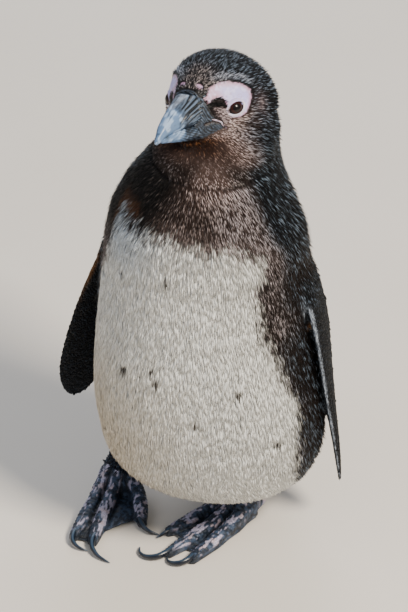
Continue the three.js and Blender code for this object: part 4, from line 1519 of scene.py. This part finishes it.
# %% [markdown]
# ## The bill
#
# The bill is two sheaths of horn. Each CAD solid is wrapped in a fine mesh of 0.5 mm faces, so
# that its true detail can be carved: the flared base with its folds, the long nostril groove and
# the finer furrows beside it, growth ridges, and the smooth hooked tip. Young birds' horn is
# slate with a pale bluish part toward the tip. The furrows and folds are painted dark as shade, the
# rims beside the furrows lighter as painted highlight, and the pale part carries painted highlights.

# %% Horn, its colours and its furrows
horn_paint = grained(
    "layered_bill_horn", "tint", NOISE, {"Scale": 700.0, "Detail": 4.0}, 0.5, 0.00015,
    gloss=(0.24, 0.46), Specular_IOR_Level=0.5,
)
FURROWS = [
    ([(24, 8.2), (35.2, 3.1), (41.6, -0.2), (50, -7.6)], 1.2, 0.9),
    ([(25, 3.6), (35.6, -1.2), (41, -5.0)], 0.8, 0.8),
    ([(25.5, 10.8), (35, 6.7), (44.5, 2.2)], 0.6, 0.7),
    ([(26, 0.4), (33, -3.6), (40, -8.0)], 0.5, 0.6),
    ([(28, 5.2), (37, 1.0), (45, -4.6)], 0.4, 0.5),
    ([(27, 12.8), (37, 8.6), (47, 3.4)], 0.4, 0.55),
    ([(21, -4.0), (27, -5.5), (34, -9.0)], 0.5, 0.6),
]  # line in head x and z, depth, half width
MOUTH_EDGE = [(18, -8), (30, -12.4), (60, -13.2), (74, -17)]  # head x and z


def horn_colours(b, groove_shade):
    along_horn = b @ np.array([[0.9, 0, -0.43], [0, 1, 0], [0.43, 0, 0.9]]).T
    streak = mottle(along_horn * [0.14, 1, 1], 1.0, 61)
    blot = mottle(b, 5, 62)
    pale = ramp(-4.0, 4.0, b[:, 0] - (48.0 + 0.35 * b[:, 2]) + 3.5 * blot + 5.0 * streak)
    spot = bell(b[:, 0] - 62, 2.2) * bell(b[:, 2] + 13.5, 2.0)
    return painted(
        "#2E3A4A", len(b), ("#10151C", ramp(0.25, 0.5, streak) * (1 - pale) * 0.8),
        ("#55677E", ramp(0.15, 0.5, -streak) * (1 - pale) * 0.8), ("#5C789C", pale),
        # Painted highlights in the pale part.
        ("#9DB4D2", pale * ramp(0.0, 0.5, blot + 0.4 * streak) * 0.8),
        ("#26313F", 0.6 * pale * ramp(0.3, 0.6, -streak)),
        # The last step is painted shade in the furrows and folds.
        ("#3C4852", np.clip(0.9 * spot, 0, 1)), ("#06080A", np.clip(1.3 * groove_shade, 0, 1)),
    )


def carve_upper(b):
    push, groove_shade, rim_highlight = np.zeros((3, len(b)))
    for line, deep, half in FURROWS:
        gap, along = distance_to_path(b[:, [0, 2]], np.array(line, float))
        ends = ramp(0.0, 0.12, along) * ramp(1.0, 0.82, along)
        cut = np.exp(-((gap / half) ** 4)) * ends * (np.abs(b[:, 1]) > 1.5)
        rims = bell(gap - 1.6 * half, 0.5 * half) * ends * (np.abs(b[:, 1]) > 1.5)
        push += 0.3 * deep * rims - deep * cut
        groove_shade = np.maximum(groove_shade, cut)
        rim_highlight = np.maximum(rim_highlight, rims)
    folds = np.sin((b[:, 0] + 0.45 * b[:, 2]) * 2 * math.pi / 2.3) * ramp(30.5, 27, b[:, 0])
    push += 0.22 * folds
    push += 0.10 * mottle(b * [0.3, 1, 1], 1.3, 63) * ramp(58, 46, b[:, 0])
    push += 0.25 * bell(b[:, 2] - table(MOUTH_EDGE, b[:, 0]), 1.2)
    # The troughs of the folds at the base get painted shade too.
    groove_shade = np.maximum(groove_shade, 0.7 * ramp(0.1, -0.8, folds) * ramp(30, 28, b[:, 0]))
    # The rims beside the furrows are painted lighter, a painted highlight.
    return push, painted(horn_colours(b, groove_shade), len(b), ("#6F829B", 0.5 * rim_highlight * (1 - groove_shade)))


def carve_lower(b):
    ribs = np.sin((b[:, 2] - 0.35 * b[:, 0]) * 2 * math.pi / 1.9)
    push = 0.12 * ribs * ramp(52, 40, b[:, 0]) + 0.08 * mottle(b * [0.3, 1, 1], 1.3, 64)
    # The troughs between the ribs get painted shade.
    groove_shade = 0.55 * ramp(0.2, -0.8, ribs) * ramp(52, 38, b[:, 0])
    return push, horn_colours(b, groove_shade)


print("furrows:", len(FURROWS))

# %% Carve the two sheaths
HORN_FACE = 0.5  # millimetres
for name, carve in (("bill_upper", carve_upper), ("bill_lower", carve_lower)):
    mesh = largest_piece(wrapped([name], HORN_FACE, 0.0))
    smoothed(mesh, 5)
    b = to_head(points_of(mesh))
    out = normals_of(mesh) @ HEAD_AXES
    b[:, 1] *= 1 + 0.47 * ramp(32, 10, b[:, 0])
    push, tint = carve(b)
    horn = from_head(b + out * push[:, None])
    faces = [tuple(p.vertices) for p in mesh.polygons]
    piece = finished(name + "_horn", horn, faces, horn_paint, [name], tint)
    print(name, triangles_in(piece.data), "triangles")

# %% [markdown]
# ## Lips at the corner of the mouth
#
# Where the two sheaths meet the cheek there is a small pale lip of soft skin, over a dark slit.
# It is a thin tube, thickest in the middle, laid on the skin.

# %% Tubes along a path, for lips and claws
def eased(path, count):
    """A smooth line through the corners of a path."""
    path = np.array(path, float)
    steps = np.concatenate([[0], np.cumsum(np.linalg.norm(np.diff(path, axis=0), axis=1))])
    t = np.linspace(0, steps[-1], count)
    line = np.stack([np.interp(t, steps, c) for c in path.T], 1)
    for _ in range(count // 3):
        line[1:-1] = 0.5 * line[1:-1] + 0.25 * (line[:-2] + line[2:])
    return line


def tube(line, across, tall, around):
    """A closed tube: half widths across and upward for each point of the line."""
    ahead = unit(np.gradient(line, axis=0))
    sideways = unit(np.cross(ahead, [0, 0, 1.0]))
    upward = np.cross(sideways, ahead)
    turn = 2 * math.pi * np.arange(around) / around
    rings = []
    for k, middle in enumerate(line):
        level = np.outer(np.cos(turn) * across[k], sideways[k])
        rings.append(middle + level + np.outer(np.sin(turn) * tall[k], upward[k]))
    last = (len(line) - 1) * around
    ends = [tuple(range(around))[::-1], tuple(last + k for k in range(around))]
    return np.concatenate(rings), bands(len(line), around, False) + ends


LIP = [(20.4, 17.2, -6.4), (18.6, 18.6, -6.9), (15.4, 20.6, -8.2), (13.0, 22.2, -10.4),
       (11.8, 23.0, -12.4)]
for name, side in (("lip_left", 1), ("lip_right", -1)):
    line = from_head(eased(LIP, 22) * [1, side, 1])
    for k, place in enumerate(line):
        found, normal, _, gap = skin_finder.find_nearest(Vector(place))
        line[k] = np.array(found) + 0.05 * np.array(normal)
    for _ in range(3):
        line[1:-1] = 0.5 * line[1:-1] + 0.25 * (line[:-2] + line[2:])
    swell = np.sin(math.pi * np.linspace(0.04, 0.97, 22)) ** 0.6
    ring, faces = tube(line, 0.8 * swell, 0.8 * swell, 10)
    shades = painted("#C3BBCB", len(ring), ("#8F7480", 0.7 * ramp(-0.1, 0.4, mottle(ring, 1.5, 71))))
    finished(name, ring, faces, lid_paint, (), shades)
print("lips:", 2)

# %% [markdown]
# ## Claws
#
# Claws are the same horn as the bill, nearly black with a blue cast, with a painted highlight
# along the top.
# Each is a curved, tapered tube that grows out of its toe and sweeps inward over the ground. The
# path of each is given by points on it, in millimetres.

# %% Grow the claws
CLAWS = {
    "claw_right_outer": [(-76.6, -74, 4.5), (-77.8, -86, 5.6), (-75.6, -95.0, 4.8),
                         (-68.3, -99.6, 3.2), (-60.8, -98.6, 1.2)],
    "claw_right_middle": [(-60.6, -76, 4.5), (-61.0, -88, 6.0), (-58.2, -97.0, 5.0),
                          (-50.2, -104.4, 3.2), (-38.6, -106.6, 1.2)],
    "claw_right_inner": [(-37.5, -46, 4.5), (-32.4, -55.4, 5.4), (-26.0, -60.6, 4.4),
                         (-20.8, -61.6, 3.2), (-15.2, -59.5, 1.3)],
    "claw_left_inner": [(-2.5, -46, 4.5), (-7.0, -54.5, 5.2), (-11.0, -60.5, 3.8),
                        (-15.4, -64.2, 1.5)],
    "claw_left_middle": [(5.0, -73, 4.5), (1.2, -83.0, 5.6), (-4.6, -90.8, 4.6),
                         (-14.4, -93.0, 3.4), (-21.9, -87.6, 2.4), (-23.6, -79.6, 1.6)],
    "claw_left_outer": [(23.0, -75, 4.5), (20.2, -85.5, 5.2), (15.2, -91.6, 4.2),
                        (7.8, -93.0, 3.2), (2.6, -89.4, 2.0), (1.4, -84.6, 1.4)],
}
claw_paint = grained(
    "claw_horn", "tint", NOISE, {"Scale": 420.0, "Detail": 3.0}, 0.5, 0.0002,
    Roughness=0.3, Specular_IOR_Level=0.55,
)
RINGS, SIDES = 30, 14
for name, path in CLAWS.items():
    t = np.linspace(0, 1, RINGS)
    across = 2.7 * (1 - t) ** 0.6 + 0.22
    across[0] = 1.2
    ring, faces = tube(eased(path, RINGS), across, 1.12 * across, SIDES)
    ring[:, 2] = np.maximum(ring[:, 2], 0.15)
    along = np.repeat(t, SIDES)
    upper = np.tile(np.sin(2 * math.pi * np.arange(SIDES) / SIDES), RINGS)
    # The top of each claw is painted paler, a painted highlight.
    shades = painted("#0B1320", len(ring), ("#3F566F", ramp(0.75, 1.0, upper) * 0.6),
                     ("#6B7D90", ramp(0.85, 1.0, along) * 0.3))
    finished(name + "_horn", ring, faces, claw_paint, [name], shades)
print("claws:", len(CLAWS))

# %% [markdown]
# ## Clearing up
#
# The feather and the bed it was laid on have done their work and go.

# %% The end
bpy.data.objects.remove(vane)
bpy.data.objects.remove(bed)
